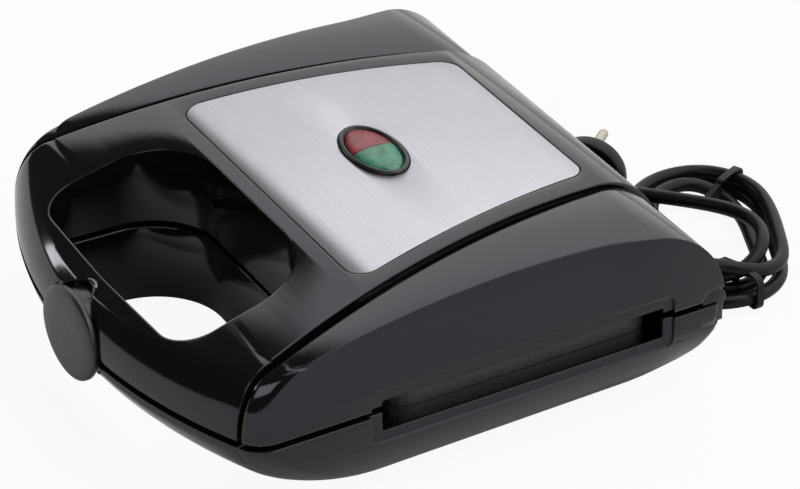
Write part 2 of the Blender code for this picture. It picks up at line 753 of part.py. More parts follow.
def make_lamp():
    """Oval bezel, two-colour domed lens, and the holder with its two neon lamps."""
    surface = crown_height(LAMP_Y, SPINE_RISE)
    bottom = surface - SPINE_THICKNESS
    outer = BEZEL_HALF_LENGTH - GAP, BEZEL_HALF_WIDTH - GAP
    rings = []
    for shrink, z in ((0.0, bottom), (0.0, surface), (0.0012, surface + BEZEL_RISE)):
        outline = oval(outer[0] - shrink, outer[1] - shrink, (0.0, LAMP_Y))
        rings.append([(x, y, z) for x, y in outline])
    bezel = add_part("lamp_bezel", loft("lamp_bezel", rings), "satin_black")
    inside = oval(LENS_HALF_LENGTH + GAP, LENS_HALF_WIDTH + GAP, (0.0, LAMP_Y))
    cut(bezel, add_cutter("bezel_cut", prism_z("bezel_cut", inside, bottom - 0.01, surface + 0.01)))

    for colour, sign in (("red", -1), ("green", 1)):
        name = f"lens_{colour}"
        rings = []
        base = surface - LENS_SKIRT
        outline = oval(LENS_HALF_LENGTH, LENS_HALF_WIDTH, (0.0, LAMP_Y))
        rings.append([(x, y, base) for x, y in outline])
        steps = 5
        for i in range(steps):
            angle = math.pi / 2 * i / steps
            share = math.cos(angle)
            outline = oval(LENS_HALF_LENGTH * share, LENS_HALF_WIDTH * share, (0.0, LAMP_Y))
            z = surface + LENS_DOME * math.sin(angle)
            rings.append([(x, y, z) for x, y in outline])
        lens = add_part(name, loft(name, rings), f"{colour}_lens")
        low, high = sorted((sign * GAP / 2, sign * FAR))
        half = box(
            f"{name}_half", (low, LAMP_Y - FAR, CROWN_TOP_Z - FAR), (high, LAMP_Y + FAR, HIGH)
        )
        combine(lens, add_cutter(f"{name}_half", half), "INTERSECT")

    holder = rounded_rectangle(
        (-BEZEL_HALF_LENGTH, LAMP_Y - BEZEL_HALF_WIDTH), (BEZEL_HALF_LENGTH, LAMP_Y + BEZEL_HALF_WIDTH),
        0.003,
    )
    deck_low = SPINE_RISE - SPINE_THICKNESS - GAP - DECK_THICKNESS
    top = crown_height(LAMP_Y - BEZEL_HALF_WIDTH, deck_low) - GAP
    tray = prism_z("lamp_holder", holder, top - HOLDER_HEIGHT, top)
    tray = add_part("lamp_holder", tray, "ceramic")
    inner = rounded_rectangle(
        (-BEZEL_HALF_LENGTH + HOLDER_WALL, LAMP_Y - BEZEL_HALF_WIDTH + HOLDER_WALL),
        (BEZEL_HALF_LENGTH - HOLDER_WALL, LAMP_Y + BEZEL_HALF_WIDTH - HOLDER_WALL), 0.002,
    )
    floor = top - HOLDER_HEIGHT + HOLDER_WALL
    cut(tray, add_cutter("holder_cut", prism_z("holder_cut", inner, floor, top + 0.01)))
    for colour, sign in (("red", -1), ("green", 1)):
        name = f"neon_{colour}"
        z = floor + GAP + NEON_RADIUS
        y = LAMP_Y - NEON_LENGTH / 2
        mesh = rod(
            name, (sign * NEON_X, y, z), (sign * NEON_X, y + NEON_LENGTH, z), NEON_RADIUS, segments=16
        )
        add_part(name, mesh, "neon_glass")


def base_rings():
    """Plan outlines of the lower shell, drawn in like a hull from the seam to the bottom."""
    levels = (
        (BASE_BOTTOM_Z, 0.0160, 0.0330, 0.0280, 0.020),
        (0.0062, 0.0128, 0.0295, 0.0200, 0.016),
        (0.0090, 0.0088, 0.0248, 0.0120, 0.013),
        (0.0130, 0.0056, 0.0195, 0.0065, 0.010),
        (0.0190, 0.0027, 0.0128, 0.0028, 0.008),
        (0.0270, 0.0009, 0.0062, 0.0008, 0.006),
        (0.0350, 0.0002, 0.0018, 0.0001, 0.005),
        (BASE_TOP_Z, 0.0, 0.0, 0.0, 0.005),
    )
    return [
        [
            (x, y, z) for x, y in plan_outline(
                side, front, rear, radius, corner_radius=FRONT_CORNER_RADIUS + front * CORNER_GROWTH
            )
        ]
        for z, side, front, rear, radius in levels
    ]


def handle_plan(name, extra, rear_y):
    """Plan of the lower handle, in line with the spine above it."""
    outline = []
    steps = 10
    front_y = FRONT_Y - FAR
    for i in range(steps + 1):
        y = front_y + (rear_y - front_y) * i / steps
        outline.append((spine_half_width(y) + extra, y))
    outline = [(0.0, front_y)] + outline + [(0.0, rear_y)]
    return add_cutter(name, prism_z(name, mirrored(outline), -FAR, SEAM_Z + FAR))


def make_base_shell(side_tools):
    """Lower moulding: tray for the plate, hinge barrel, plate bosses and foot seats."""
    shell = add_part("base_shell", loft("base_shell", base_rings()), "gloss_black")
    cut(shell, handle_plan("handle_room_cut", GAP, HANDLE_REAR_Y + GAP))
    rings = []
    floor = BASE_BOTTOM_Z + BASE_FLOOR
    levels = (
        (floor, 0.0185, 0.0290),
        (floor + 0.0022, 0.0145, 0.0180),
        (0.0155, 0.0085, 0.0085),
        (0.0250, 0.0048, 0.0040),
        (SEAM_Z + 0.01, BASE_WALL, BASE_WALL),
    )
    for z, side, rear in levels:
        half = HALF_WIDTH - side
        outline = rounded_rectangle((-half, CAVITY_FRONT_Y), (half, REAR_Y - rear), 0.005)
        rings.append([(x, y, z) for x, y in outline])
    cut(shell, add_cutter("base_cavity_cut", loft("base_cavity_cut", rings)))

    bosses = []
    for side, sign in side_names():
        for end, y in (("front", BOSS_FRONT_Y), ("rear", BOSS_REAR_Y)):
            name = f"base_boss_{end}_{side}"
            x = sign * BOSS_X
            top = LOWER_PLATE_BACK_Z - GAP
            mesh = rod(name, (x, y, floor - 0.001), (x, y, top), BOSS_RADIUS)
            bosses.append(add_cutter(name, mesh))
    join(shell, *bosses)
    cut(shell, *side_tools)

    relief = BARREL_RADIUS + HINGE_RELIEF
    cut(shell, *hinge_bore("base_knuckle_room", relief, KNUCKLE_START_X, KNUCKLE_END_X, 32))
    barrel = rod(
        "base_barrel", (-BARREL_HALF_LENGTH, HINGE_Y, HINGE_Z), (BARREL_HALF_LENGTH, HINGE_Y, HINGE_Z),
        BARREL_RADIUS,
    )
    join(shell, add_cutter("base_barrel", barrel))
    cut(shell, *hinge_bore("base_pin_bore", PIN_RADIUS + GAP, PIN_START_X - GAP, BARREL_HALF_LENGTH + 0.002))
    for side, sign in side_names():
        name = f"lug_room_{side}"
        cut(shell, add_cutter(name, lug_mesh(name, sign, 2 * GAP)))

    gland = rod(
        "gland_cut", (GLAND_X, REAR_Y - 0.015, GLAND_Z), (GLAND_X, REAR_Y + 0.01, GLAND_Z),
        GLAND_NECK_RADIUS + GAP,
    )
    cut(shell, add_cutter("gland_cut", gland))
    return shell


def make_base_handle():
    """Lower half of the handle, with the catch lip in the latch recess."""
    handle = add_part("base_handle", loft("base_handle", base_rings()), "gloss_black")
    combine(handle, handle_plan("handle_plan", 0.0, HANDLE_REAR_Y), "INTERSECT")
    cut(handle, HAND_HOLE, RECESS)
    low = (-CATCH_HALF_WIDTH, CATCH_FRONT_Y, HOOK_HIGH_Z + GAP)
    high = (CATCH_HALF_WIDTH, RECESS_BACK_Y + 0.0010, HOOK_HIGH_Z + GAP + CATCH_HEIGHT)
    join(handle, add_cutter("catch_lip", box("catch_lip", low, high)))


def lug_mesh(name, sign, extra):
    """Outer hinge ear: round about the axis, with a root that goes down into the shell."""
    radius = BARREL_RADIUS + extra
    root = 0.0110
    angles = [math.pi * i / 12 for i in range(13)]
    profile = [
        (HINGE_Y + radius * math.cos(angle), HINGE_Z + radius * math.sin(angle)) for angle in angles
    ]
    profile[0] = (HINGE_Y + radius, HINGE_Z)
    profile += [(HINGE_Y - radius, HINGE_Z - root - extra)]
    profile += [(REAR_Y + extra, HINGE_Z - root - extra), (REAR_Y + extra, HINGE_Z - radius / 2)]
    start = LUG_START_X - extra if extra else LUG_START_X
    end = LUG_END_X + extra
    return prism_x(name, profile, sign * start, sign * end)


def make_hinge():
    """Two outer ears on the base and the two pins that the lid turns on."""
    for side, sign in side_names():
        name = f"hinge_lug_{side}"
        lug = add_part(name, lug_mesh(name, sign, 0.0), "gloss_black")
        bore = rod(
            f"lug_bore_{side}", (sign * (LUG_START_X - 0.002), HINGE_Y, HINGE_Z),
            (sign * (PIN_END_X + GAP), HINGE_Y, HINGE_Z), PIN_RADIUS + GAP, segments=24,
        )
        cut(lug, add_cutter(f"lug_bore_{side}", bore))
        name = f"hinge_pin_{side}"
        pin = rod(
            name, (sign * PIN_START_X, HINGE_Y, HINGE_Z), (sign * PIN_END_X, HINGE_Y, HINGE_Z),
            PIN_RADIUS, segments=24,
        )
        add_part(name, pin, "bright_steel")


def make_feet():
    for side, sign in side_names():
        for end, y in (("front", FOOT_FRONT_Y), ("rear", FOOT_REAR_Y)):
            name = f"foot_{end}_{side}"
            x = sign * FOOT_X
            top = BASE_BOTTOM_Z - GAP
            mesh = rod(name, (x, y, 0.0), (x, y, top), FOOT_RADIUS - 0.001, FOOT_RADIUS)
            add_part(name, mesh, "rubber")


def pocket_rings(corners, mouth_z, floor_z):
    """A triangular pocket, drawn in from its mouth to its floor."""
    middle = sum((Vector(corner) for corner in corners), Vector((0.0, 0.0))) / 3
    rings = []
    for scale, z in ((1.04, mouth_z), (1.0, PARTING_Z), (POCKET_FLOOR_SCALE, floor_z)):
        moved = [middle + (Vector(corner) - middle) * scale for corner in corners]
        outline = filleted([(point.x, point.y, POCKET_RADIUS * scale) for point in moved], 4)
        rings.append([(x, y, z) for x, y in outline])
    return rings


def pocket_triangles():
    """Plan corners of the four pockets: two sandwiches, each cut from corner to corner."""
    near, far = POCKET_RIDGE / 2, PLATE_HALF_WIDTH - POCKET_RIM
    front, rear = PLATE_FRONT_Y + POCKET_RIM, PLATE_REAR_Y - POCKET_RIM
    diagonal = Vector((far - near, rear - front))
    side_shift = POCKET_RIDGE / 2 * diagonal.length / diagonal.y
    end_shift = POCKET_RIDGE / 2 * diagonal.length / diagonal.x
    inner = [(near, front + end_shift), (far - side_shift, rear), (near, rear)]
    outer = [(near + side_shift, front), (far, front), (far, rear - end_shift)]
    return {"inner": inner, "outer": outer}


def make_plate(name, low_z, high_z, floor_z, mouth_z):
    """Cast plate with its four triangular pockets."""
    outline = rounded_rectangle(
        (-PLATE_HALF_WIDTH, PLATE_FRONT_Y), (PLATE_HALF_WIDTH, PLATE_REAR_Y), PLATE_RADIUS
    )
    plate = add_part(name, prism_z(name, outline, low_z, high_z), "cast_aluminium")
    for side, sign in side_names():
        for place, corners in pocket_triangles().items():
            turned = [(sign * x, y) for x, y in corners]
            tool = f"{name}_pocket_{place}_{side}"
            rings = pocket_rings(turned, mouth_z, floor_z)
            cut(plate, add_cutter(tool, loft(tool, rings)))


def element_points(z):
    """Heating loop with both ends near the middle of the plate's rear edge."""
    corners = [
        (ELEMENT_END_X, ELEMENT_REAR_Y, 0.0),
        (ELEMENT_HALF_WIDTH, ELEMENT_REAR_Y, ELEMENT_BEND),
        (ELEMENT_HALF_WIDTH, ELEMENT_FRONT_Y, ELEMENT_BEND),
        (-ELEMENT_HALF_WIDTH, ELEMENT_FRONT_Y, ELEMENT_BEND),
        (-ELEMENT_HALF_WIDTH, ELEMENT_REAR_Y, ELEMENT_BEND),
        (-ELEMENT_END_X, ELEMENT_REAR_Y, 0.0),
    ]
    return [(x, y, z) for x, y in filleted(corners, 5)]


def tube(name, points, radius, resolution, slot):
    """A round tube with filled ends along a list of points."""
    curve = bpy.data.curves.new(name, "CURVE")
    curve.dimensions = "3D"
    curve.bevel_depth = radius
    curve.bevel_resolution = resolution
    curve.use_fill_caps = True
    line = curve.splines.new("POLY")
    line.points.add(len(points) - 1)
    for place, point in zip(line.points, points):
        place.co = (*point, 1.0)
    part = bpy.data.objects.new(name, curve)
    curve.materials.append(finish(name, slot))
    PARTS.objects.link(part)
    return part


def make_reflector(name, rim_z, floor_z):
    """Shallow steel tray over the element, open towards the plate."""
    outline = rounded_rectangle(
        (-REFLECTOR_HALF_WIDTH, REFLECTOR_FRONT_Y), (REFLECTOR_HALF_WIDTH, REFLECTOR_REAR_Y), 0.008
    )
    inner = rounded_rectangle(
        (-REFLECTOR_HALF_WIDTH + REFLECTOR_SHEET, REFLECTOR_FRONT_Y + REFLECTOR_SHEET),
        (REFLECTOR_HALF_WIDTH - REFLECTOR_SHEET, REFLECTOR_REAR_Y - REFLECTOR_SHEET), 0.0072,
    )
    inward = 1 if rim_z > floor_z else -1
    low, high = sorted((rim_z, floor_z))
    tray = add_part(name, prism_z(name, outline, low, high), "bright_steel")
    inner_low, inner_high = sorted((rim_z + inward * 0.005, floor_z + inward * REFLECTOR_SHEET))
    cut(tray, add_cutter(f"{name}_cut", prism_z(f"{name}_cut", inner, inner_low, inner_high)))
    hole = rod(
        f"{name}_hole", (0.0, THERMOSTAT_Y, floor_z - 0.005), (0.0, THERMOSTAT_Y, floor_z + 0.005),
        THERMOSTAT_RADIUS + 0.0015,
    )
    cut(tray, add_cutter(f"{name}_hole", hole))


def make_heaters():
    make_plate(
        "lower_plate", LOWER_PLATE_BACK_Z, PLATE_TOP_Z, PLATE_TOP_Z - POCKET_DEPTH, PLATE_TOP_Z + 0.004
    )
    make_plate(
        "upper_plate", UPPER_PLATE_BOTTOM_Z, UPPER_PLATE_BACK_Z,
        UPPER_PLATE_BOTTOM_Z + POCKET_DEPTH, UPPER_PLATE_BOTTOM_Z - 0.004,
    )
    reach = GAP + ELEMENT_RADIUS
    tube("lower_element", element_points(LOWER_PLATE_BACK_Z - reach), ELEMENT_RADIUS, 2, "bright_steel")
    tube("upper_element", element_points(UPPER_PLATE_BACK_Z + reach), ELEMENT_RADIUS, 2, "bright_steel")
    low = LOWER_PLATE_BACK_Z - GAP
    make_reflector("lower_reflector", low, low - REFLECTOR_DEPTH)
    high = UPPER_PLATE_BACK_Z + GAP
    make_reflector("upper_reflector", high, high + REFLECTOR_DEPTH)
    for name, start, way in (("lower_thermostat", low, -1), ("upper_thermostat", high, 1)):
        end = start + way * THERMOSTAT_HEIGHT
        mesh = rod(name, (0.0, THERMOSTAT_Y, start), (0.0, THERMOSTAT_Y, end), THERMOSTAT_RADIUS)
        add_part(name, mesh, "ceramic")


def make_latch():
    """Round domed latch with its hub and hook, and the pin it swings on."""
    rings = []
    steps = 6
    profile = [(LATCH_RADIUS - LATCH_CHAMFER, LATCH_BACK_Y), (LATCH_RADIUS, LATCH_BACK_Y - LATCH_CHAMFER)]
    depth = LATCH_RIM_Y - LATCH_FRONT_Y
    for i in range(steps):
        angle = math.pi / 2 * i / steps
        profile.append((LATCH_RADIUS * math.cos(angle), LATCH_RIM_Y - depth * math.sin(angle)))
    for radius, y in profile:
        circle = arc((0.0, LATCH_Z), radius, 0.0, 2 * math.pi, 48)[:-1]
        rings.append([(x, y, z) for x, z in circle])
    latch = add_part("latch", loft("latch", rings), "satin_black")

    hub = rod(
        "latch_hub", (-LATCH_HUB_HALF_LENGTH, LATCH_PIVOT_Y, LATCH_PIVOT_Z),
        (LATCH_HUB_HALF_LENGTH, LATCH_PIVOT_Y, LATCH_PIVOT_Z), LATCH_HUB_RADIUS, segments=24,
    )
    web_half_length = LATCH_HUB_HALF_LENGTH - LATCH_WEB_STEP
    web_half_height = LATCH_HUB_RADIUS - LATCH_WEB_STEP
    low = (-web_half_length, LATCH_BACK_Y - 0.001, LATCH_PIVOT_Z - web_half_height)
    high = (web_half_length, LATCH_PIVOT_Y - LATCH_PIN_RADIUS / 2, LATCH_PIVOT_Z + web_half_height)
    web = box("latch_web", low, high)
    low = (-HOOK_HALF_WIDTH, LATCH_BACK_Y - 0.001, HOOK_LOW_Z)
    high = (HOOK_HALF_WIDTH, HOOK_BACK_Y, HOOK_HIGH_Z)
    hook = box("latch_hook", low, high)
    join(latch, add_cutter("latch_web", web), add_cutter("latch_hub", hub), add_cutter("latch_hook", hook))
    bore = rod(
        "latch_bore", (-0.03, LATCH_PIVOT_Y, LATCH_PIVOT_Z), (0.03, LATCH_PIVOT_Y, LATCH_PIVOT_Z),
        LATCH_PIN_RADIUS + GAP, segments=24,
    )
    cut(latch, add_cutter("latch_bore", bore))
    pin = rod(
        "latch_pin", (-LATCH_PIN_HALF_LENGTH, LATCH_PIVOT_Y, LATCH_PIVOT_Z),
        (LATCH_PIN_HALF_LENGTH, LATCH_PIVOT_Y, LATCH_PIVOT_Z), LATCH_PIN_RADIUS, segments=24,
    )
    add_part("latch_pin", pin, "bright_steel")


def stadium(radius, half_straight, segments=14):
    """Racetrack outline about the origin, longest along X."""
    right = arc((half_straight, 0.0), radius, -math.pi / 2, math.pi / 2, segments)
    left = arc((-half_straight, 0.0), radius, math.pi / 2, 3 * math.pi / 2, segments)
    return right + left


def hank_place():
    return Matrix.Translation((*HANK_CENTRE, 0.0)) @ Matrix.Rotation(HANK_ANGLE, 4, "Z")


def make_strain_relief():
    wall_y = REAR_Y - 0.0065
    gland = rod(
        "strain_relief", (GLAND_X, wall_y, GLAND_Z), (GLAND_X, GLAND_TIP_Y, GLAND_Z),
        GLAND_NECK_RADIUS, GLAND_TIP_RADIUS,
    )
    gland = add_part("strain_relief", gland, "rubber")
    flange = rod(
        "gland_flange", (GLAND_X, REAR_Y, GLAND_Z), (GLAND_X, REAR_Y + GLAND_FLANGE_THICKNESS, GLAND_Z),
        GLAND_FLANGE_RADIUS,
    )
    join(gland, add_cutter("gland_flange", flange))
    bore = rod(
        "gland_bore", (GLAND_X, wall_y - 0.01, GLAND_Z), (GLAND_X, GLAND_TIP_Y + 0.01, GLAND_Z),
        CORD_RADIUS + GAP, segments=24,
    )
    cut(gland, add_cutter("gland_bore", bore))


def make_hank():
    """Wound turns of the lead as one racetrack ring, held by two flat ties."""
    place = hank_place()
    low, high = HANK_LOW_Z, HANK_LOW_Z + HANK_HEIGHT
    outer = stadium(HANK_BEND + HANK_WIDTH / 2, HANK_HALF_STRAIGHT)
    inner = stadium(HANK_BEND - HANK_WIDTH / 2, HANK_HALF_STRAIGHT)
    hank = add_part("cord_hank", prism_z("cord_hank", outer, low, high), "rubber")
    hole = add_cutter("hank_cut", prism_z("hank_cut", inner, low - 0.01, high + 0.01))
    hank.matrix_world = place
    hole.matrix_world = place
    cut(hank, hole)

    half_width, half_height = HANK_WIDTH / 2 + GAP, HANK_HEIGHT / 2 + GAP
    middle_z = (low + high) / 2
    for name, way, turn in (("cord_tie_far", -1, TIE_FAR_ANGLE), ("cord_tie_near", 1, TIE_NEAR_ANGLE)):
        x = way * HANK_HALF_STRAIGHT + HANK_BEND * math.cos(turn)
        y = HANK_BEND * math.sin(turn)
        bow = HANK_BEND * TIE_BOW_SHARE
        band = box(
            name, (-TIE_WIDTH / 2, -half_width - TIE_THICKNESS - bow, -half_height - TIE_THICKNESS),
            (TIE_WIDTH / 2, half_width + TIE_THICKNESS + bow, half_height + TIE_THICKNESS),
        )
        band = add_part(name, band, "rubber")
        inside = box(
            f"{name}_cut", (-TIE_WIDTH, -half_width - bow, -half_height),
            (TIE_WIDTH, half_width + bow, half_height),
        )
        inside = add_cutter(f"{name}_cut", inside)
        across = Matrix.Rotation(turn - math.pi / 2, 4, "Z")
        spot = place @ Matrix.Translation((x, y, middle_z)) @ across
        band.matrix_world = spot
        inside.matrix_world = spot
        cut(band, inside)


def make_plug(rest_z):
    """Angled grounded plug lying on its edge, with its two pins pointing backward."""
    centre = Vector((*PLUG_CENTRE, PLUG_RADIUS + GAP))
    out = Vector(PLUG_AXIS).normalized()
    side = Vector((out.y, -out.x, 0.0))
    face = centre + out * PLUG_FACE_THICKNESS
    body = add_part("plug_body", rod("plug_body", centre, face, PLUG_RADIUS, segments=40), "rubber")
    back = centre - out * PLUG_BODY_LENGTH
    shoulder = rod(
        "plug_shoulder", centre + out * GAP, back, PLUG_RADIUS * 0.80, PLUG_RADIUS * 0.55
    )
    start = centre - out * PLUG_BODY_LENGTH * 0.45
    end = start + side * PLUG_GRIP_LENGTH
    end.z = rest_z
    grip = rod("plug_grip", start, end, PLUG_GRIP_RADIUS, PLUG_GRIP_END_RADIUS)
    join(body, add_cutter("plug_shoulder", shoulder), add_cutter("plug_grip", grip))
    for name, rise in (("plug_pin_low", -1), ("plug_pin_high", 1)):
        root = face + Vector((0.0, 0.0, rise * PLUG_PIN_SPACING / 2))
        socket = root - out * PLUG_PIN_ROOT
        bore = rod(f"{name}_bore", socket - out * GAP, root + out * 0.01, PLUG_PIN_RADIUS + GAP, segments=24)
        cut(body, add_cutter(f"{name}_bore", bore))
        pin = rod(name, socket, root + out * PLUG_PIN_LENGTH, PLUG_PIN_RADIUS, segments=24)
        add_part(name, pin, "brass")
    return end + side * GAP, side


def make_cord():
    """Strain relief, free lead, hank with its ties, tail and plug, lying behind the body."""
    make_strain_relief()
    rest_z = HANK_LOW_Z + HANK_HEIGHT + GAP + CORD_RADIUS
    tube("cord_lead", [(x, y, max(z, rest_z)) for x, y, z in LEAD_ROUTE], CORD_RADIUS, 3, "rubber")
    make_hank()
    end, way = make_plug(rest_z)
    inward = Vector((-way.y, way.x, 0.0))
    tail = [end]
    for ahead, across in ((0.006, 0.0), (0.010, 0.0008), (0.014, 0.0028)):
        point = end + way * ahead + inward * across
        tail.append(point)
    tube("cord_tail", tail, CORD_RADIUS, 3, "rubber")


def build():
    side_tools = side_cutters()
    make_base_shell(side_tools)
    make_base_handle()
    make_feet()
    make_heaters()
    make_hinge()
    make_lid_shell(side_tools)
    make_lid_spine()
    make_cover_plate()
    make_lamp()
    make_latch()
    make_cord()


clear_scene()
PARTS = new_collection("sandwich_toaster")
CUTTERS = new_collection("cutters")
HAND_HOLE = add_cutter("hand_hole_cut", prism_z("hand_hole_cut", hand_hole_outline(), -FAR, HIGH))
RECESS = latch_recess()
build()
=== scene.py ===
# %% [markdown]
# # Sandwich toaster
# A hinged toaster of glossy black plastic with a brushed cover plate, a two-colour signal lamp and
# an oval latch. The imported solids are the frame. Each visible piece is built again here with finer
# curves and rounded edges, in the same place, and rides on the body that it belongs to.

# %% Load the frame
import math
from functools import partial

import bpy
from mathutils import Matrix, Vector


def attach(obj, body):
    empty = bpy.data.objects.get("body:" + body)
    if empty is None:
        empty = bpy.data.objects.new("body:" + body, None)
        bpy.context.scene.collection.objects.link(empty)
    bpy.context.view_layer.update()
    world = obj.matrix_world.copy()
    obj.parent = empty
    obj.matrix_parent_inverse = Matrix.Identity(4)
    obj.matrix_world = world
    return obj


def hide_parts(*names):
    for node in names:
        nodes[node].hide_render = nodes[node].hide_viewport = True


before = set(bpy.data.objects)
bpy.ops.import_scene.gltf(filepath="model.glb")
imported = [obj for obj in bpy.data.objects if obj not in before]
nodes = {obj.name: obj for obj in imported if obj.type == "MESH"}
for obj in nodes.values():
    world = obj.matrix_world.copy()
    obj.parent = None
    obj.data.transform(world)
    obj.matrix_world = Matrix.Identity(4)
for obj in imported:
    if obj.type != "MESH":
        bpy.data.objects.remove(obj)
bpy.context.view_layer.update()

# %% [markdown]
# ## Camera
# The photograph was taken from the right, a little above, with a long lens. The pose comes from
# the toaster's own edges: the seam, the cover plate and the hinge line fix the angle and the
# distance.

# %% Camera
AZIMUTH, ELEVATION, ROLL = (math.radians(value) for value in (61.1409, 31.9970, -1.0716))
TARGET = Vector((0.010359, 0.026458, 0.044995))
DISTANCE = 1.70181
FOCAL_LENGTH = 174.71
SENSOR_WIDTH = 36.0


def make_camera():
    back = Vector((
        math.sin(AZIMUTH) * math.cos(ELEVATION), -math.cos(AZIMUTH) * math.cos(ELEVATION),
        math.sin(ELEVATION),
    ))
    right = (-back).cross(Vector((0.0, 0.0, 1.0))).normalized()
    up = right.cross(-back)
    turned_right = math.cos(ROLL) * right + math.sin(ROLL) * up
    turned_up = -math.sin(ROLL) * right + math.cos(ROLL) * up
    bpy.ops.object.camera_add()
    camera = bpy.context.object
    camera.name = "camera"
    pose = Matrix((turned_right, turned_up, back)).transposed().to_4x4()
    camera.matrix_world = Matrix.Translation(TARGET + back * DISTANCE) @ pose
    camera.data.lens = FOCAL_LENGTH
    camera.data.sensor_width = SENSOR_WIDTH
    camera.data.sensor_fit = "HORIZONTAL"
    camera.data.clip_end = 20.0
    bpy.context.scene.camera = camera
    return camera


print("camera at", [round(value, 3) for value in make_camera().location])

# %% [markdown]
# ## Mesh tools
# Almost every moulding is a loft: a stack of outlines that all have the same number of points. A
# grid gets one row per outline, its seam is merged and its two ends are filled. Openings are
# carved with Booleans that are applied at once, and edges are rounded with a small bevel as a
# mould does.

# %% Mesh tools
GAP = 0.0003
FAR = 0.05
SIDES = (("left", -1), ("right", 1))
CLEAN_DISTANCE = 0.00008
SHARP_ANGLE = math.radians(32.0)


def only(piece):
    """Make one object the only selected and active one."""
    bpy.ops.object.select_all(action="DESELECT")
    piece.select_set(True)
    bpy.context.view_layer.objects.active = piece


def loft(name, rings, band=False):
    """Solid through rings that all have the same number of points; a band has no ends to fill."""
    if band:
        rings = [*rings, rings[0]]
    count = len(rings[0])
    bpy.ops.mesh.primitive_grid_add(x_subdivisions=count, y_subdivisions=len(rings) - 1, size=1.0)
    piece = bpy.context.object
    piece.name = name
    points = [value for ring in rings for point in (*ring, ring[0]) for value in point]
    piece.data.vertices.foreach_set("co", points)
    piece.data.update()
    bpy.ops.object.mode_set(mode="EDIT")
    bpy.ops.mesh.select_all(action="SELECT")
    bpy.ops.mesh.remove_doubles(threshold=1e-7)
    if not band:
        bpy.ops.mesh.fill_holes(sides=0)
        bpy.ops.mesh.select_all(action="SELECT")
    bpy.ops.mesh.normals_make_consistent(inside=False)
    bpy.ops.object.mode_set(mode="OBJECT")
    return piece


def prism_x(name, profile, x_low, x_high):
    return loft(name, [[(x, y, z) for y, z in profile] for x in (x_low, x_high)])


def prism_z(name, outline, z_low, z_high):
    return loft(name, [[(x, y, z) for x, y in outline] for z in (z_low, z_high)])


def block(name, low, high):
    bpy.ops.mesh.primitive_cube_add(size=1.0)
    piece = bpy.context.object
    piece.name = name
    for vertex in piece.data.vertices:
        vertex.co = [
            bottom if value < 0 else top for value, bottom, top in zip(vertex.co, low, high)
        ]
    return piece


def lathe(name, origin, axis, profile, segments=64):
    """Turned piece: (distance along the axis, radius) pairs from one end to the other."""
    origin, axis = Vector(origin), Vector(axis).normalized()
    helper = Vector((0.0, 0.0, 1.0)) if abs(axis.z) < 0.9 else Vector((1.0, 0.0, 0.0))
    side = axis.cross(helper).normalized()
    across = axis.cross(side)
    rings = []
    for along, radius in profile:
        rings.append([
            origin + axis * along + radius * (
                side * math.cos(2 * math.pi * i / segments)
                + across * math.sin(2 * math.pi * i / segments)
            )
            for i in range(segments)
        ])
    return loft(name, rings)


def rod(name, start, end, radius, segments=48):
    start, end = Vector(start), Vector(end)
    length = (end - start).length
    return lathe(name, start, end - start, ((0.0, radius), (length, radius)), segments)


def apply_step(piece, kind, **settings):
    only(piece)
    step = piece.modifiers.new(kind.lower(), kind)
    for key, value in settings.items():
        setattr(step, key, value)
    bpy.ops.object.modifier_apply(modifier=step.name)


def combine(piece, tool, operation):
    apply_step(piece, "BOOLEAN", operation=operation, solver="EXACT", object=tool)
    bpy.data.objects.remove(tool, do_unlink=True)


def cut(piece, *tools):
    for tool in tools:
        combine(piece, tool, "DIFFERENCE")


def join(piece, *tools):
    for tool in tools:
        combine(piece, tool, "UNION")


def round_edges(piece, width, segments=2):
    """Clean the carved faces, then round every sharp edge."""
    only(piece)
    bpy.ops.object.mode_set(mode="EDIT")
    bpy.ops.mesh.select_all(action="SELECT")
    bpy.ops.mesh.remove_doubles(threshold=CLEAN_DISTANCE)
    bpy.ops.object.mode_set(mode="OBJECT")
    apply_step(
        piece, "BEVEL", width=width, segments=segments, limit_method="ANGLE",
        angle_limit=SHARP_ANGLE, use_clamp_overlap=True, miter_outer="MITER_ARC",
    )


def arc(centre, radius, start, end, segments):
    angles = [start + (end - start) * i / segments for i in range(segments + 1)]
    return [
        (centre[0] + radius * math.cos(angle), centre[1] + radius * math.sin(angle))
        for angle in angles
    ]


def filleted(corners, segments=8):
    """Outline through (a, b, radius) corners, each rounded by an arc of its radius."""
    outline = []
    for i, (a, b, radius) in enumerate(corners):
        here = Vector((a, b))
        back = (Vector(corners[i - 1][:2]) - here).normalized()
        ahead = (Vector(corners[(i + 1) % len(corners)][:2]) - here).normalized()
        half = back.angle(ahead) / 2
        if radius == 0 or half > math.radians(89.5):
            outline.append((a, b))
            continue
        centre = here + (back + ahead).normalized() * radius / math.sin(half)
        first = here + back * radius / math.tan(half) - centre
        last = here + ahead * radius / math.tan(half) - centre
        start = math.atan2(first.y, first.x)
        sweep = math.atan2(last.y, last.x) - start
        sweep = (sweep + math.pi) % (2 * math.pi) - math.pi
        outline += arc(centre, radius, start, start + sweep, segments)
    return outline


def rounded_rectangle(low, high, radius, segments=8):
    return filleted([
        (low[0], low[1], radius), (high[0], low[1], radius),
        (high[0], high[1], radius), (low[0], high[1], radius),
    ], segments)


def mirrored(half):
    """Close a plan outline from its +X half, given from the front middle to the rear."""
    return half + [(-x, y) for x, y in reversed(half) if x > 1e-6]


def put(piece, body, material, *replaced, slot=None, angle=35.0):
    """Finish a piece: shading, material, the body it rides on and the nodes that it stands for."""
    if angle:
        only(piece)
        bpy.ops.object.shade_smooth_by_angle(angle=math.radians(angle))
    piece.data.materials.clear()
    piece.data.materials.append(material)
    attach(piece, body)
    if replaced:
        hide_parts(*replaced)
    return piece


# %% [markdown]
# ## Finishes
# Each finish is named for the real one. Colours are written as seen on screen and turned into
# linear light by one function. Grain and unevenness are sized in real millimetres in object
# coordinates.

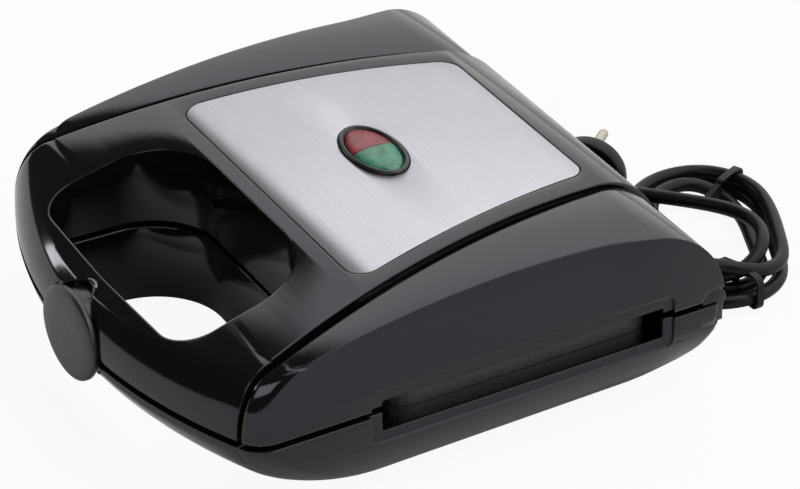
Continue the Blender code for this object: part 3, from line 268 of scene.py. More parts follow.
# %% Finishes
MM = 1000.0
WAVE_SCALE = 1.6 / (2 * math.pi)


def colour(code):
    """A screen colour such as 5f5e64 as linear red, green and blue."""
    channels = [int(code[i:i + 2], 16) / 255 for i in (0, 2, 4)]
    return (*(c / 12.92 if c <= 0.04045 else ((c + 0.055) / 1.055) ** 2.4 for c in channels), 1.0)


def add_node(tree, kind, inputs=(), **settings):
    """Add a node. An input is linked where it is another node's output, and set otherwise."""
    node = tree.nodes.new(kind)
    for key, value in settings.items():
        setattr(node, key, value)
    for key, value in dict(inputs).items():
        if hasattr(value, "is_output"):
            tree.links.new(value, node.inputs[key])
        else:
            node.inputs[key].default_value = value
    return node


class Finish:
    """A Principled material with grain, tint, gloss and bump from noise."""

    def __init__(self, name, base, roughness, metallic=0.0, **sockets):
        self.material = bpy.data.materials.new(name)
        self.material.use_nodes = True
        self.tree = self.material.node_tree
        self.add = partial(add_node, self.tree)
        self.shader = self.tree.nodes["Principled BSDF"]
        self.shader.inputs["Base Color"].default_value = colour(base)
        self.shader.inputs["Roughness"].default_value = roughness
        self.shader.inputs["Metallic"].default_value = metallic
        for key, value in sockets.items():
            self.shader.inputs[key.replace("_", " ")].default_value = value
        self.place = self.add("ShaderNodeTexCoord").outputs["Object"]

    def noise(self, size_mm, detail=3.0, stretch=(1.0, 1.0, 1.0)):
        """Even noise whose features are about size_mm across, longer where stretch is above 1."""
        scale = [MM / size_mm / value for value in stretch]
        spot = self.add("ShaderNodeMapping", {"Vector": self.place, "Scale": scale})
        made = self.add(
            "ShaderNodeTexNoise", {"Vector": spot.outputs[0], "Scale": 1.0, "Detail": detail}
        )
        return made.outputs["Fac"]

    def spread(self, value, low, high, start=0.3, end=0.7):
        made = self.add("ShaderNodeMapRange", {
            "Value": value, "From Min": start, "From Max": end, "To Min": low, "To Max": high,
        })
        return made.outputs["Result"]

    def tint(self, factor, dark, light, start=0.3, end=0.7):
        share = self.spread(factor, 0.0, 1.0, start, end)
        made = self.add(
            "ShaderNodeMix", {0: share, 6: colour(dark), 7: colour(light)}, data_type="RGBA"
        )
        self.tree.links.new(made.outputs[2], self.shader.inputs["Base Color"])

    def rough(self, factor, low, high):
        value = self.spread(factor, low, high)
        self.tree.links.new(value, self.shader.inputs["Roughness"])

    def bump(self, height, depth_mm, edge_mm=0.0):
        inputs = {"Height": height, "Distance": depth_mm / MM, "Strength": 1.0}
        if edge_mm:
            edge = self.add("ShaderNodeBevel", {"Radius": edge_mm / MM}, samples=6)
            inputs["Normal"] = edge.outputs["Normal"]
        made = self.add("ShaderNodeBump", inputs).outputs["Normal"]
        self.tree.links.new(made, self.shader.inputs["Normal"])


def gloss_plastic():
    """Polished black thermoset: a slight orange peel and a little dust in the gloss."""
    made = Finish("gloss_black_plastic", "0b0b0d", 0.08, IOR=1.52, Specular_Tint=colour("f3f0ff"))
    peel = made.noise(3.2, 1.0)
    dust = made.noise(0.9, 4.0)
    made.tint(dust, "09090b", "0f0f12", 0.35, 0.75)
    made.rough(dust, 0.05, 0.12)
    made.bump(peel, 0.003, 1.1)
    return made.material


def finish(name, base, roughness, grain, tints, gloss=None, relief=None, **sockets):
    """A finish whose grain shows in colour and surface, with gloss from a noise of its own."""
    made = Finish(name, base, roughness, **sockets)
    grain = made.noise(*grain)
    made.tint(grain, *tints)
    if gloss:
        made.rough(made.noise(*gloss[0]), *gloss[1:])
    if relief:
        made.bump(grain, *relief)
    return made.material


def lens(name, dark, light, ribs_mm):
    """Moulded lens cap: coloured plastic with fine ribs that spread the lamp's light."""
    made = Finish(name, light, 0.14, IOR=1.49)
    made.shader.inputs["Transmission Weight"].default_value = 0.15
    made.tint(made.noise(5.0, 2.0), dark, light)
    made.rough(made.noise(1.0), 0.10, 0.20)
    wave = made.add("ShaderNodeTexWave", {
        "Vector": made.place, "Scale": WAVE_SCALE * MM / ribs_mm, "Distortion": 0.0,
    }, bands_direction="X")
    made.bump(wave.outputs["Fac"], 0.16)
    return made.material


GLOSS = gloss_plastic()
# finely textured plastic of the latch and the lamp bezel
SATIN = finish(
    "satin_black_plastic", "1e1e21", 0.34, (0.35, 2.0), ("1a1a1d", "222225"),
    ((4.0,), 0.28, 0.38), (0.010, 0.6), IOR=1.50,
)
# cover plate, brushed across: long fine lines, and broader ones in the gloss
STEEL = finish(
    "brushed_stainless", "cfced3", 0.36, (0.16, 4.0, (90.0, 1.0, 1.0)), ("acabb1", "bbbabf"),
    ((0.9, 2.0, (60.0, 1.0, 1.0)), 0.28, 0.36), (0.0025,), metallic=1.0,
)
# dark non-stick coating on cast aluminium: speckled and slightly pebbled
CAST = finish(
    "nonstick_cast_aluminium", "4a4949", 0.42, (0.45, 3.0), ("424141", "626161", 0.45, 0.75),
    ((1.2,), 0.36, 0.50), (0.020,), metallic=0.2,
)
# rolled and turned steel of pins, trays and heating tubes
BRIGHT = finish(
    "bright_steel", "b9b9bb", 0.30, (0.25, 4.0, (12.0, 1.0, 1.0)), ("a9a9ac", "c6c6c8"),
    ((2.5,), 0.22, 0.38), (0.003,), metallic=1.0,
)
RED = lens("red_lens_plastic", "7d1c22", "9c2a30", 1.1)
GREEN = lens("green_lens_plastic", "2a7556", "489a78", 0.8)
# matt cable sheath, feet and plug: soft, with a fine skin
RUBBER = finish(
    "soft_black_pvc", "0e0e10", 0.46, (0.6, 3.0), ("0b0b0c", "121214"), ((5.0,), 0.30, 0.42),
    (0.012,), IOR=1.50, Specular_IOR_Level=0.22,
)
# pale steatite of the thermostats and the lamp holder
CERAMIC = finish(
    "steatite_ceramic", "d8d2c4", 0.60, (0.8, 3.0), ("cdc6b6", "e0dbcf"), None, (0.015,),
)
# small neon lamps, unlit: clear warm glass
NEON = finish(
    "neon_lamp_glass", "e8c9a8", 0.08, (3.0,), ("dfbd9a", "edd3b7"), ((2.0,), 0.05, 0.12), IOR=1.50,
)
# nickel-washed brass of the plug pins, slightly worn
BRASS = finish(
    "nickelled_brass", "b9b4a6", 0.32, (1.2, 4.0), ("a89f86", "c6c3ba"),
    ((1.2, 4.0), 0.24, 0.40), metallic=1.0,
)
print("finishes", len(bpy.data.materials))

# %% [markdown]
# ## Mains lead
# A two-core lead of 6.6 mm leaves the rear low on the right through a ribbed strain relief. It is
# wound into a flat hank behind the toaster, as it comes out of its box: a lower and an upper layer
# with two strands each. Both ends lie on top, where the last strand crosses over to the plug.

# %% Mains lead
CORD_RADIUS = 0.0033
CORD_EXIT = (0.0600, 0.1275, 0.0220)
GLAND_X, GLAND_Z = CORD_EXIT[0], CORD_EXIT[2]
GLAND_TIP_Y, WALL_Y = 0.1460, 0.1255
LEAD_ROUTE = (
    CORD_EXIT, (0.0600, 0.1340, 0.0220), (0.0600, 0.1400, 0.0220),
    (0.0600, 0.1465, 0.0220), (0.0603, 0.1500, 0.0217), (0.0610, 0.1535, 0.0208),
    (0.0620, 0.1570, 0.0199), (0.0628, 0.1605, 0.0193),
)
HANK_CENTRE = Vector((0.0245, 0.1783, 0.0))
HANK_ANGLE = math.radians(-22.0)
HANK_BEND = 0.0262
HANK_HALF_STRAIGHT = 0.0203
HANK_WIDTH = 0.0170
HANK_LOW_Z = 0.0018
HANK_HEIGHT = 0.0138
REST_Z = HANK_LOW_Z + HANK_HEIGHT + GAP + CORD_RADIUS
PLUG_CENTRE = Vector((-0.0340, 0.1496, 0.0183))
PLUG_OUT = Vector((-0.63, 0.78, 0.0)).normalized()
PLUG_SIDE = Vector((PLUG_OUT.y, -PLUG_OUT.x, 0.0))
PLUG_RADIUS, PLUG_PIN_RISE = 0.0180, 0.0095
GRIP_START = PLUG_CENTRE - PLUG_OUT * 0.0072
GRIP_END = GRIP_START + PLUG_SIDE * 0.0150
GRIP_END.z = REST_Z
HANK_PLACE = Matrix.Translation(HANK_CENTRE) @ Matrix.Rotation(HANK_ANGLE, 4, "Z")


def hank_point(share, offset, z):
    """Point on the hank: share of a turn from the right end's outside, offset from mid-track."""
    bend, straight = math.pi * HANK_BEND, 2 * HANK_HALF_STRAIGHT
    # the second half of a turn is the first one turned by 180 degrees
    way = 1 if share % 1.0 < 0.5 else -1
    run = (share % 0.5) * 2 * (bend + straight)
    radius = HANK_BEND + offset
    if run < bend / 2:
        turn, middle = run / HANK_BEND, HANK_HALF_STRAIGHT
    elif run < bend / 2 + straight:
        turn, middle = math.pi / 2, HANK_HALF_STRAIGHT - (run - bend / 2)
    else:
        turn, middle = (run - straight) / HANK_BEND, -HANK_HALF_STRAIGHT
    x, y = middle + radius * math.cos(turn), radius * math.sin(turn)
    return HANK_PLACE @ Vector((way * x, way * y, z))


def eased(table, share):
    """Value between the (share, value) pairs of a table, smooth at each pair."""
    if share <= table[0][0]:
        return table[0][1]
    for (start, low), (end, high) in zip(table, table[1:]):
        if share <= end:
            part = (share - start) / (end - start)
            return low + (high - low) * part * part * (3 - 2 * part)
    return table[-1][1]


LOW_LAYER = HANK_LOW_Z + CORD_RADIUS + 0.0001
HIGH_LAYER = HANK_LOW_Z + HANK_HEIGHT - CORD_RADIUS - 0.0001
OUTER_TRACK, INNER_TRACK = 0.0050, -0.0050
HANK_START, HANK_END, STEPS_PER_TURN = 0.975, 4.155, 40
OFFSETS = (
    (0.965, -0.0044), (1.14, OUTER_TRACK), (2.56, OUTER_TRACK), (2.72, INNER_TRACK),
    (4.30, INNER_TRACK),
)
HEIGHTS = (
    (0.97, REST_Z), (1.13, HIGH_LAYER), (1.76, HIGH_LAYER), (1.92, LOW_LAYER),
    (3.34, LOW_LAYER), (3.52, HIGH_LAYER), (4.02, HIGH_LAYER), (4.14, REST_Z),
)


def lead_points():
    """Dense points of the whole lead, from the strain relief round the hank to the plug."""
    points = [Vector(point) for point in LEAD_ROUTE]
    turns = HANK_END - HANK_START
    count = int(turns * STEPS_PER_TURN)
    for i in range(count + 1):
        share = HANK_START + turns * i / count
        # a lead wound by hand wanders a little
        wander = 0.0007 * math.sin(2 * math.pi * share * 1.7) + 0.0004 * math.sin(31.0 * share)
        points.append(hank_point(share, eased(OFFSETS, share) + wander, eased(HEIGHTS, share)))
    # one cubic curve from the last strand to the plug's grip
    a = points[-1]
    b = a + (a - points[-2]).normalized() * 0.030
    c = GRIP_END + PLUG_SIDE * (a - GRIP_END).length * 0.42
    d = GRIP_END + PLUG_SIDE * 0.0005
    for i in range(1, 25):
        t = i / 24
        point = a * (1 - t) ** 3 + b * 3 * t * (1 - t) ** 2 + c * 3 * t * t * (1 - t) + d * t ** 3
        points.append(point)
    return relaxed(points)


def relaxed(points):
    """Even out the spacing and the bends, with both ends held."""
    for _ in range(6):
        points = resampled(points, 0.0028)
        moved = list(points)
        for i in range(4, len(points) - 3):
            moved[i] = points[i] * 0.5 + (points[i - 1] + points[i + 1]) * 0.25
        points = moved
    return points


def resampled(points, step):
    lengths = [0.0]
    for a, b in zip(points, points[1:]):
        lengths.append(lengths[-1] + (b - a).length)
    count = max(int(round(lengths[-1] / step)), 2)
    made, k = [], 0
    for i in range(count + 1):
        run = lengths[-1] * i / count
        while k < len(lengths) - 2 and lengths[k + 1] < run:
            k += 1
        part = (run - lengths[k]) / (lengths[k + 1] - lengths[k])
        made.append(points[k].lerp(points[k + 1], min(max(part, 0.0), 1.0)))
    return made


def tube(name, points, radius):
    """Round tube along points, as a curve of one open spline."""
    curve = bpy.data.curves.new(name, "CURVE")
    curve.dimensions = "3D"
    curve.bevel_depth = radius
    curve.bevel_resolution = 5
    curve.use_fill_caps = True
    curve.twist_mode = "MINIMUM"
    line = curve.splines.new("POLY")
    line.points.add(len(points) - 1)
    for place, point in zip(line.points, points):
        place.co = (*point, 1.0)
    line.use_smooth = True
    piece = bpy.data.objects.new(name, curve)
    bpy.context.scene.collection.objects.link(piece)
    return piece


def path_length(points):
    return sum((b - a).length for a, b in zip(points, points[1:]))


route = lead_points()
mains_lead = put(
    tube("mains_lead", route, CORD_RADIUS), "base", RUBBER,
    "cord_lead", "cord_hank", "cord_tail", slot="rubber", angle=None,
)
print("lead", round(path_length(route), 3), "m in", len(route), "points")

# %% [markdown]
# ## Strain relief, ties and plug
# The strain relief is a soft cone with rings that let it bend. The two ties are thin flat plastic
# strips round the hank. The plug is an angled one with earth contacts, moulded in one with its
# grip.

# %% Strain relief, ties and plug


def make_strain_relief():
    inside = 0.0065
    profile = [(0.0, 0.0060), (inside, 0.0060), (inside, 0.0078), (inside + 0.0004, 0.0081)]
    profile += [(inside + 0.0018, 0.0081), (inside + 0.0023, 0.0076), (inside + 0.0024, 0.0062)]
    ribs = 5
    start = inside + 0.0030
    pitch = (GLAND_TIP_Y - WALL_Y - 0.0030) / ribs
    for i in range(ribs):
        radius = 0.0061 - 0.0011 * i / (ribs - 1)
        along = start + pitch * i
        profile += [
            (along, radius - 0.0009), (along + 0.0003, radius - 0.0001), (along + 0.0006, radius),
            (along + pitch - 0.0013, radius), (along + pitch - 0.0010, radius - 0.0001),
            (along + pitch - 0.0007, radius - 0.0009),
        ]
    total = inside + GLAND_TIP_Y - WALL_Y
    profile += [(total - 0.0004, 0.0047), (total, 0.0042)]
    piece = lathe("strain_relief_boot", (GLAND_X, WALL_Y - inside, GLAND_Z), (0, 1, 0), profile)
    bore = rod(
        "bore", (GLAND_X, WALL_Y - 0.02, GLAND_Z), (GLAND_X, GLAND_TIP_Y + 0.01, GLAND_Z),
        CORD_RADIUS + 0.0001,
    )
    cut(piece, bore)
    return put(piece, "base", RUBBER, "strain_relief", slot="rubber")


def make_tie(name, way, turn_degrees, node):
    """Flat strip round the hank at one place, with its free end bent down."""
    turn = math.radians(turn_degrees)
    spot = HANK_PLACE @ Matrix.Translation((
        way * HANK_HALF_STRAIGHT + HANK_BEND * math.cos(turn), HANK_BEND * math.sin(turn),
        HANK_LOW_Z + HANK_HEIGHT / 2,
    )) @ Matrix.Rotation(turn - math.pi / 2, 4, "Z")
    half_width, half_height = HANK_WIDTH / 2 + 0.0004, HANK_HEIGHT / 2 + 0.0003
    tie_width, thickness, free_end, droop = 0.0035, 0.0012, 0.0115, 0.0042
    rings = []
    for x in (-tie_width / 2, tie_width / 2):
        for grow in (0.0, thickness) if x < 0 else (thickness, 0.0):
            outline = rounded_rectangle(
                (-half_width - grow, -half_height - grow), (half_width + grow, half_height + grow),
                0.0030 + grow, 6,
            )
            rings.append([spot @ Vector((x, a, b)) for a, b in outline])
    piece = loft(name, rings, band=True)
    strip = block(
        "strip", (-0.0015, -half_width - free_end, half_height),
        (0.0015, -half_width + 0.004, half_height + 0.0009),
    )
    for vertex in strip.data.vertices:
        if vertex.co.y < -half_width:
            vertex.co.z -= droop
        vertex.co = spot @ vertex.co
    join(piece, strip)
    return put(piece, "base", RUBBER, node, slot="rubber")


def make_plug():
    """Round face with a rolled rim, a stepped back and the angled grip that the lead leaves."""
    face = 0.0080
    profile = [(0.0, 0.0150), (0.0, 0.0172), (0.0004, 0.0177), (0.0010, PLUG_RADIUS)]
    profile += [(face - 0.0012, PLUG_RADIUS), (face - 0.0004, 0.0177), (face, 0.0170)]
    body = lathe("plug_housing", PLUG_CENTRE, PLUG_OUT, profile, 96)
    back = [(0.0005, 0.0144), (-0.0030, 0.0144), (-0.0042, 0.0139), (-0.0120, 0.0108)]
    back += [(-0.0150, 0.0098), (-0.0160, 0.0086)]
    join(body, lathe("plug_back", PLUG_CENTRE, PLUG_OUT, back, 64))
    length = (GRIP_END - GRIP_START).length
    grip = [(0.0, 0.0065), (length * 0.45, 0.0061)]
    for i in range(4):
        along = length * 0.50 + 0.0019 * i
        radius = 0.0059 - 0.0004 * i
        grip += [(along, radius), (along + 0.0009, radius), (along + 0.0010, radius - 0.0008)]
        grip += [(along + 0.0018, radius - 0.0008)]
    grip += [(length, 0.0042)]
    join(body, lathe("plug_grip", GRIP_START, GRIP_END - GRIP_START, grip, 48))
    for rise in (-PLUG_PIN_RISE, PLUG_PIN_RISE):
        root = PLUG_CENTRE + PLUG_OUT * face + Vector((0.0, 0.0, rise))
        cut(body, rod("bore", root - PLUG_OUT * 0.0043, root + PLUG_OUT * 0.01, 0.0027))
    put(body, "base", RUBBER, "plug_body", slot="rubber")
    pins = []
    profile = [(0.0, 0.0024), (0.0210, 0.0024), (0.0222, 0.0021), (0.0228, 0.0014)]
    profile += [(0.0230, 0.0004)]
    for name, rise in (("plug_pin_low", -PLUG_PIN_RISE), ("plug_pin_high", PLUG_PIN_RISE)):
        root = PLUG_CENTRE + PLUG_OUT * (face - 0.0040) + Vector((0.0, 0.0, rise))
        pin = lathe(f"contact_{name[9:]}", root, PLUG_OUT, profile, 32)
        pins.append(put(pin, "base", BRASS, name, slot="brass", angle=50.0))
    return [body, *pins]


make_strain_relief()
ties = [
    make_tie("hank_tie_far", -1, 136.0, "cord_tie_far"),
    make_tie("hank_tie_near", 1, 23.0, "cord_tie_near"),
]
plug = make_plug()
print("plug and ties", [piece.name for piece in plug + ties])

# %% [markdown]
# ## Shape of the body
# Seen from above, the body has a bowed front, tight front corners and a straight rear. Seen from
# the side, the lid's top is one long crown that rolls over into the rear wall. The nose of the lid
# is a quarter of an ellipse, and the lower shell is drawn in like a hull. The numbers are the
# part's own.

# %% Shape of the body
HALF_WIDTH = 0.118
FRONT_Y, REAR_Y = -0.1284, 0.1255
FRONT_BOW_RADIUS, FRONT_CORNER_RADIUS, REAR_CORNER_RADIUS = 0.256, 0.014, 0.005
SEAM_Z, SEAM_GAP = 0.0435, 0.0032
CROWN_TOP_Z, CROWN_TOP_Y, CROWN_RADIUS, REAR_ROUND_RADIUS = 0.0882, 0.030, 0.465, 0.040
SIDE_DRAFT, NOSE_HEIGHT, NOSE_DEPTH, NOSE_FLATTENING = 0.11, 0.0295, 0.0315, 0.44
DRAFT_END_Y, FLARE_END_Y = 0.065, 0.105
LID_WALL, DECK_THICKNESS = 0.0025, 0.0024
SPINE_HALF_WIDTH, SPINE_TAPER, SPINE_BOW = HALF_WIDTH - 0.0333, 0.196, 0.22
SPINE_RISE, SPINE_THICKNESS = 0.0015, 0.0035
GROOVE_WIDTH, GROOVE_MID_Y, GROOVE_HALF_LENGTH = 0.0045, -0.005, 0.125
HANDLE_REAR_Y, CAVITY_FRONT_Y = -0.0375, -0.0347
BASE_BOTTOM_Z, BASE_FLOOR, BASE_WALL, CORNER_GROWTH = 0.0050, 0.0026, 0.0026, 1.2
LID_BOTTOM_Z, BASE_TOP_Z = SEAM_Z + SEAM_GAP / 2, SEAM_Z - SEAM_GAP / 2
WIDE, HIGH = HALF_WIDTH + FAR, CROWN_TOP_Z + FAR
HINGE_Y, HINGE_Z, HINGE_RELIEF, REAR_EDGE_RISE = 0.1210, 0.0435, 0.0008, 0.0064
BARREL_RADIUS = 0.0060
BARREL_HALF_LENGTH = HALF_WIDTH - 0.0342
KNUCKLE_START_X = BARREL_HALF_LENGTH + GAP
KNUCKLE_END_X = KNUCKLE_START_X + 0.0140
LUG_START_X, LUG_END_X = KNUCKLE_END_X + GAP, HALF_WIDTH - 0.0012
PIN_RADIUS, PIN_START_X, PIN_END_X = 0.0020, BARREL_HALF_LENGTH - 0.0058, HALF_WIDTH - 0.0060
PLATE_HALF_WIDTH = HALF_WIDTH - 0.0110
BOSS_X, BOSS_ROWS_Y, BOSS_RADIUS = PLATE_HALF_WIDTH - 0.0130, (-0.018, 0.082), 0.0040
LOWER_SEAT_Z, UPPER_SEAT_Z = 0.0221, 0.0481
LATCH_Z, LATCH_CENTRE_Z, LATCH_RADIUS = 0.0445, 0.0450, 0.0220
LATCH_HALF_WIDTH, LATCH_HALF_HEIGHT = 0.0252, 0.0195
LATCH_PIVOT_Y, LATCH_PIVOT_Z, LATCH_PIN_RADIUS = -0.1173, 0.0600, 0.0014
LATCH_BACK_Y, LATCH_TILT, LATCH_RIM, LATCH_FRONT = -0.1264, math.radians(6), 0.0024, 0.0044
RECESS_BACK_Y, BUTTON_RECESS_Y = -0.1138, -0.1236
HOLE_FRONT_Y, HOLE_CORNER_Y, HOLE_REAR_Y = -0.1121, -0.1101, -0.0410
HANDLE_FRONT_Y, CROWN_FRONT_Y = -0.176, -0.156
LAMP_Y = 0.020
REAR_ROUND_Y = REAR_Y - REAR_ROUND_RADIUS
REAR_ROUND_Z = CROWN_TOP_Z - CROWN_RADIUS + math.sqrt(
    (CROWN_RADIUS - REAR_ROUND_RADIUS) ** 2 - (REAR_ROUND_Y - CROWN_TOP_Y) ** 2
)
UNDERSIDE_TOP_Z, UNDERSIDE_HEIGHT, UNDERSIDE_BOW = 0.030, 0.018, 0.035
UNDERSIDE_TAPER, TAPER_START_Y = 0.05, 0.02


def plan_outline(
    side_inset, front_inset, rear_inset, rear_radius,
    bow_radius=FRONT_BOW_RADIUS, corner_radius=FRONT_CORNER_RADIUS, flared=False,
):
    half_width = HALF_WIDTH - side_inset
    bow_centre_y = FRONT_Y + front_inset + bow_radius
    corner_x = half_width - corner_radius
    reach = bow_radius - corner_radius
    corner_y = bow_centre_y - math.sqrt(reach**2 - corner_x**2)
    tangent = math.atan2(corner_y - bow_centre_y, corner_x)
    half = arc((0.0, bow_centre_y), bow_radius, -math.pi / 2, tangent, 26)
    half += arc((corner_x, corner_y), corner_radius, tangent, 0.0, 14)[1:]
    rear_y = REAR_Y - rear_inset
    if flared:
        steps = 12
        for i in range(steps + 1):
            share = i / steps
            ease = share * share * (3 - 2 * share)
            y = DRAFT_END_Y + (FLARE_END_Y - DRAFT_END_Y) * share
            half.append((HALF_WIDTH - side_inset * (1 - ease), y))
        half_width = HALF_WIDTH
    rear_centre = (half_width - rear_radius, rear_y - rear_radius)
    half += arc(rear_centre, rear_radius, 0.0, math.pi / 2, 8)
    half.append((0.0, rear_y))
    return mirrored(half)


def crown_height(y, offset=0.0):
    if y < REAR_ROUND_Y:
        reach = math.sqrt((CROWN_RADIUS + offset) ** 2 - (y - CROWN_TOP_Y) ** 2)
        return CROWN_TOP_Z - CROWN_RADIUS + reach
    return REAR_ROUND_Z + math.sqrt((REAR_ROUND_RADIUS + offset) ** 2 - (y - REAR_ROUND_Y) ** 2)


def under_crown(name, offset, front_y, low_z):
    """All that lies under the crown, from front_y back to the rear face."""
    steps = 72
    points = [
        (y, crown_height(y, offset))
        for y in (front_y + (REAR_ROUND_Y - front_y) * i / steps for i in range(steps))
    ]
    start = math.atan2(REAR_ROUND_Z - (CROWN_TOP_Z - CROWN_RADIUS), REAR_ROUND_Y - CROWN_TOP_Y)
    points += arc((REAR_ROUND_Y, REAR_ROUND_Z), REAR_ROUND_RADIUS + offset, start, 0.0, 36)
    points += [(REAR_Y + offset, low_z), (front_y, low_z)]
    return prism_x(name, points, -WIDE, WIDE)


def spine_half_width(y):
    return SPINE_HALF_WIDTH - SPINE_TAPER * y + SPINE_BOW * y * y


def groove_width(y):
    share = (y - GROOVE_MID_Y) / GROOVE_HALF_LENGTH
    return max(GROOVE_WIDTH * (1 - share**4), 3 * GAP)


def spine_outline(with_groove=False, extra=0.0, rear_y=REAR_Y + FAR, steps=96):
    """Plan of the spine and of the handle in line with it, from far in front back to rear_y."""
    half = [(0.0, HANDLE_FRONT_Y)]
    for i in range(steps + 1):
        y = HANDLE_FRONT_Y + (rear_y - HANDLE_FRONT_Y) * i / steps
        width = spine_half_width(min(y, REAR_Y))
        if with_groove:
            width += groove_width(y)
        half.append((width + extra, y))
    half.append((0.0, rear_y))
    return mirrored(half)


def hand_hole():
    """Rounded hand-hole through both halves of the handle, its front edge bowed like theirs."""
    right = [
        (0.0, HOLE_FRONT_Y, 0.0), (HALF_WIDTH - 0.0490, HOLE_CORNER_Y, 0.017),
        (HALF_WIDTH - 0.0515, HOLE_REAR_Y, 0.034),
    ]
    left = [(-x, y, radius) for x, y, radius in reversed(right[1:])]
    return prism_z("hand_hole", filleted(right + left, 24), -FAR, HIGH)


def latch_recess():
    """Round room for the latch's neck and a shallow oval one for its button."""
    neck_room = rod(
        "latch_recess", (0.0, RECESS_BACK_Y, LATCH_Z), (0.0, FRONT_Y - FAR, LATCH_Z),
        LATCH_RADIUS - 0.0006, 96,
    )
    start = Vector((0.0, BUTTON_RECESS_Y, LATCH_CENTRE_Z))
    half_width, half_height = LATCH_HALF_WIDTH + 0.0006, LATCH_HALF_HEIGHT + 0.0007
    button_room = rod("button_room", start, start - Vector((0.0, FAR, 0.0)), half_height, 96)
    for vertex in button_room.data.vertices:
        vertex.co.x *= half_width / half_height
    join(neck_room, button_room)
    return neck_room


def side_openings():
    """The flat frame and the opening through it, on both sides and across the seam."""
    tools = []
    frame_plan = rounded_rectangle((-0.0475, 0.0275), (0.1000, 0.0535), 0.0035)
    slot_plan = rounded_rectangle((-0.0415, 0.0325), (0.0955, 0.0475), 0.0010, 3)
    for side, sign in SIDES:
        inner = sign * (PLATE_HALF_WIDTH - 0.0080)
        outer = sign * (HALF_WIDTH + FAR)
        tools.append(prism_x(f"frame_{side}", frame_plan, sign * (HALF_WIDTH - 0.0020), outer))
        tools.append(prism_x(f"slot_{side}", slot_plan, inner, outer))
    return tools


def lid_outline(height, nose_share, rear_inset):
    return plan_outline(
        SIDE_DRAFT * height, NOSE_DEPTH * nose_share, rear_inset, REAR_CORNER_RADIUS,
        bow_radius=FRONT_BOW_RADIUS / (1 - NOSE_FLATTENING * nose_share), flared=True,
    )


def lid_hull(name, offset):
    """Outer form of the lid, with the crown moved outward by offset."""
    rings = []
    steps = 28
    past_rear = -FAR / 5
    for i in range(steps + 1):
        angle = math.pi / 2 * i / steps
        height = NOSE_HEIGHT * math.sin(angle)
        outline = lid_outline(height, 1 - math.cos(angle), past_rear)
        rings.append([(x, y, LID_BOTTOM_Z + height) for x, y in outline])
    top = CROWN_TOP_Z - LID_BOTTOM_Z + FAR / 4
    rings.append([(x, y, LID_BOTTOM_Z + top) for x, y in lid_outline(top, 1.0, past_rear)])
    hull = loft(name, rings)
    combine(hull, under_crown("crown", offset, CROWN_FRONT_Y, LID_BOTTOM_Z - 0.010), "INTERSECT")
    return hull


def hinge_rod(name, start_x, end_x, radius):
    return rod(name, (start_x, HINGE_Y, HINGE_Z), (end_x, HINGE_Y, HINGE_Z), radius)


def latch_pivot_rod(name, half_length, radius):
    ends = [(x, LATCH_PIVOT_Y, LATCH_PIVOT_Z) for x in (-half_length, half_length)]
    return rod(name, *ends, radius)


def join_bosses(shell, level):
    """Posts that carry a heating plate: level gives their two ends at y."""
    for sign in (-1, 1):
        for y in BOSS_ROWS_Y:
            start, end = ((sign * BOSS_X, y, z) for z in level(y))
            join(shell, rod("boss", start, end, BOSS_RADIUS))


def lamp_oval(half_length, half_width, segments=96):
    turns = [2 * math.pi * i / segments for i in range(segments)]
    return [
        (half_length * math.cos(turn), LAMP_Y + half_width * math.sin(turn)) for turn in turns
    ]


def lamp_well(half_length, half_width, depth=FAR):
    return prism_z("well", lamp_oval(half_length, half_width), CROWN_TOP_Z - depth, HIGH)


def lid_reliefs():
    """Room for the hinge barrel, and for the base's wall when the lid is up."""
    return (
        hinge_rod("relief", -WIDE, WIDE, BARREL_RADIUS + HINGE_RELIEF),
        block(
            "relief_edge", (-WIDE, HINGE_Y, LID_BOTTOM_Z - FAR),
            (WIDE, REAR_Y + FAR, HINGE_Z + REAR_EDGE_RISE),
        ),
    )


# %% [markdown]
# ## Lid
# The lid is two mouldings. The shell carries both wings, the deck under the spine, the hinge
# knuckles and the bosses of the plate. The spine lies on the deck, stands 1.5 mm above the wings
# with a groove on each side, and runs forward as the upper half of the handle.

# %% Lid


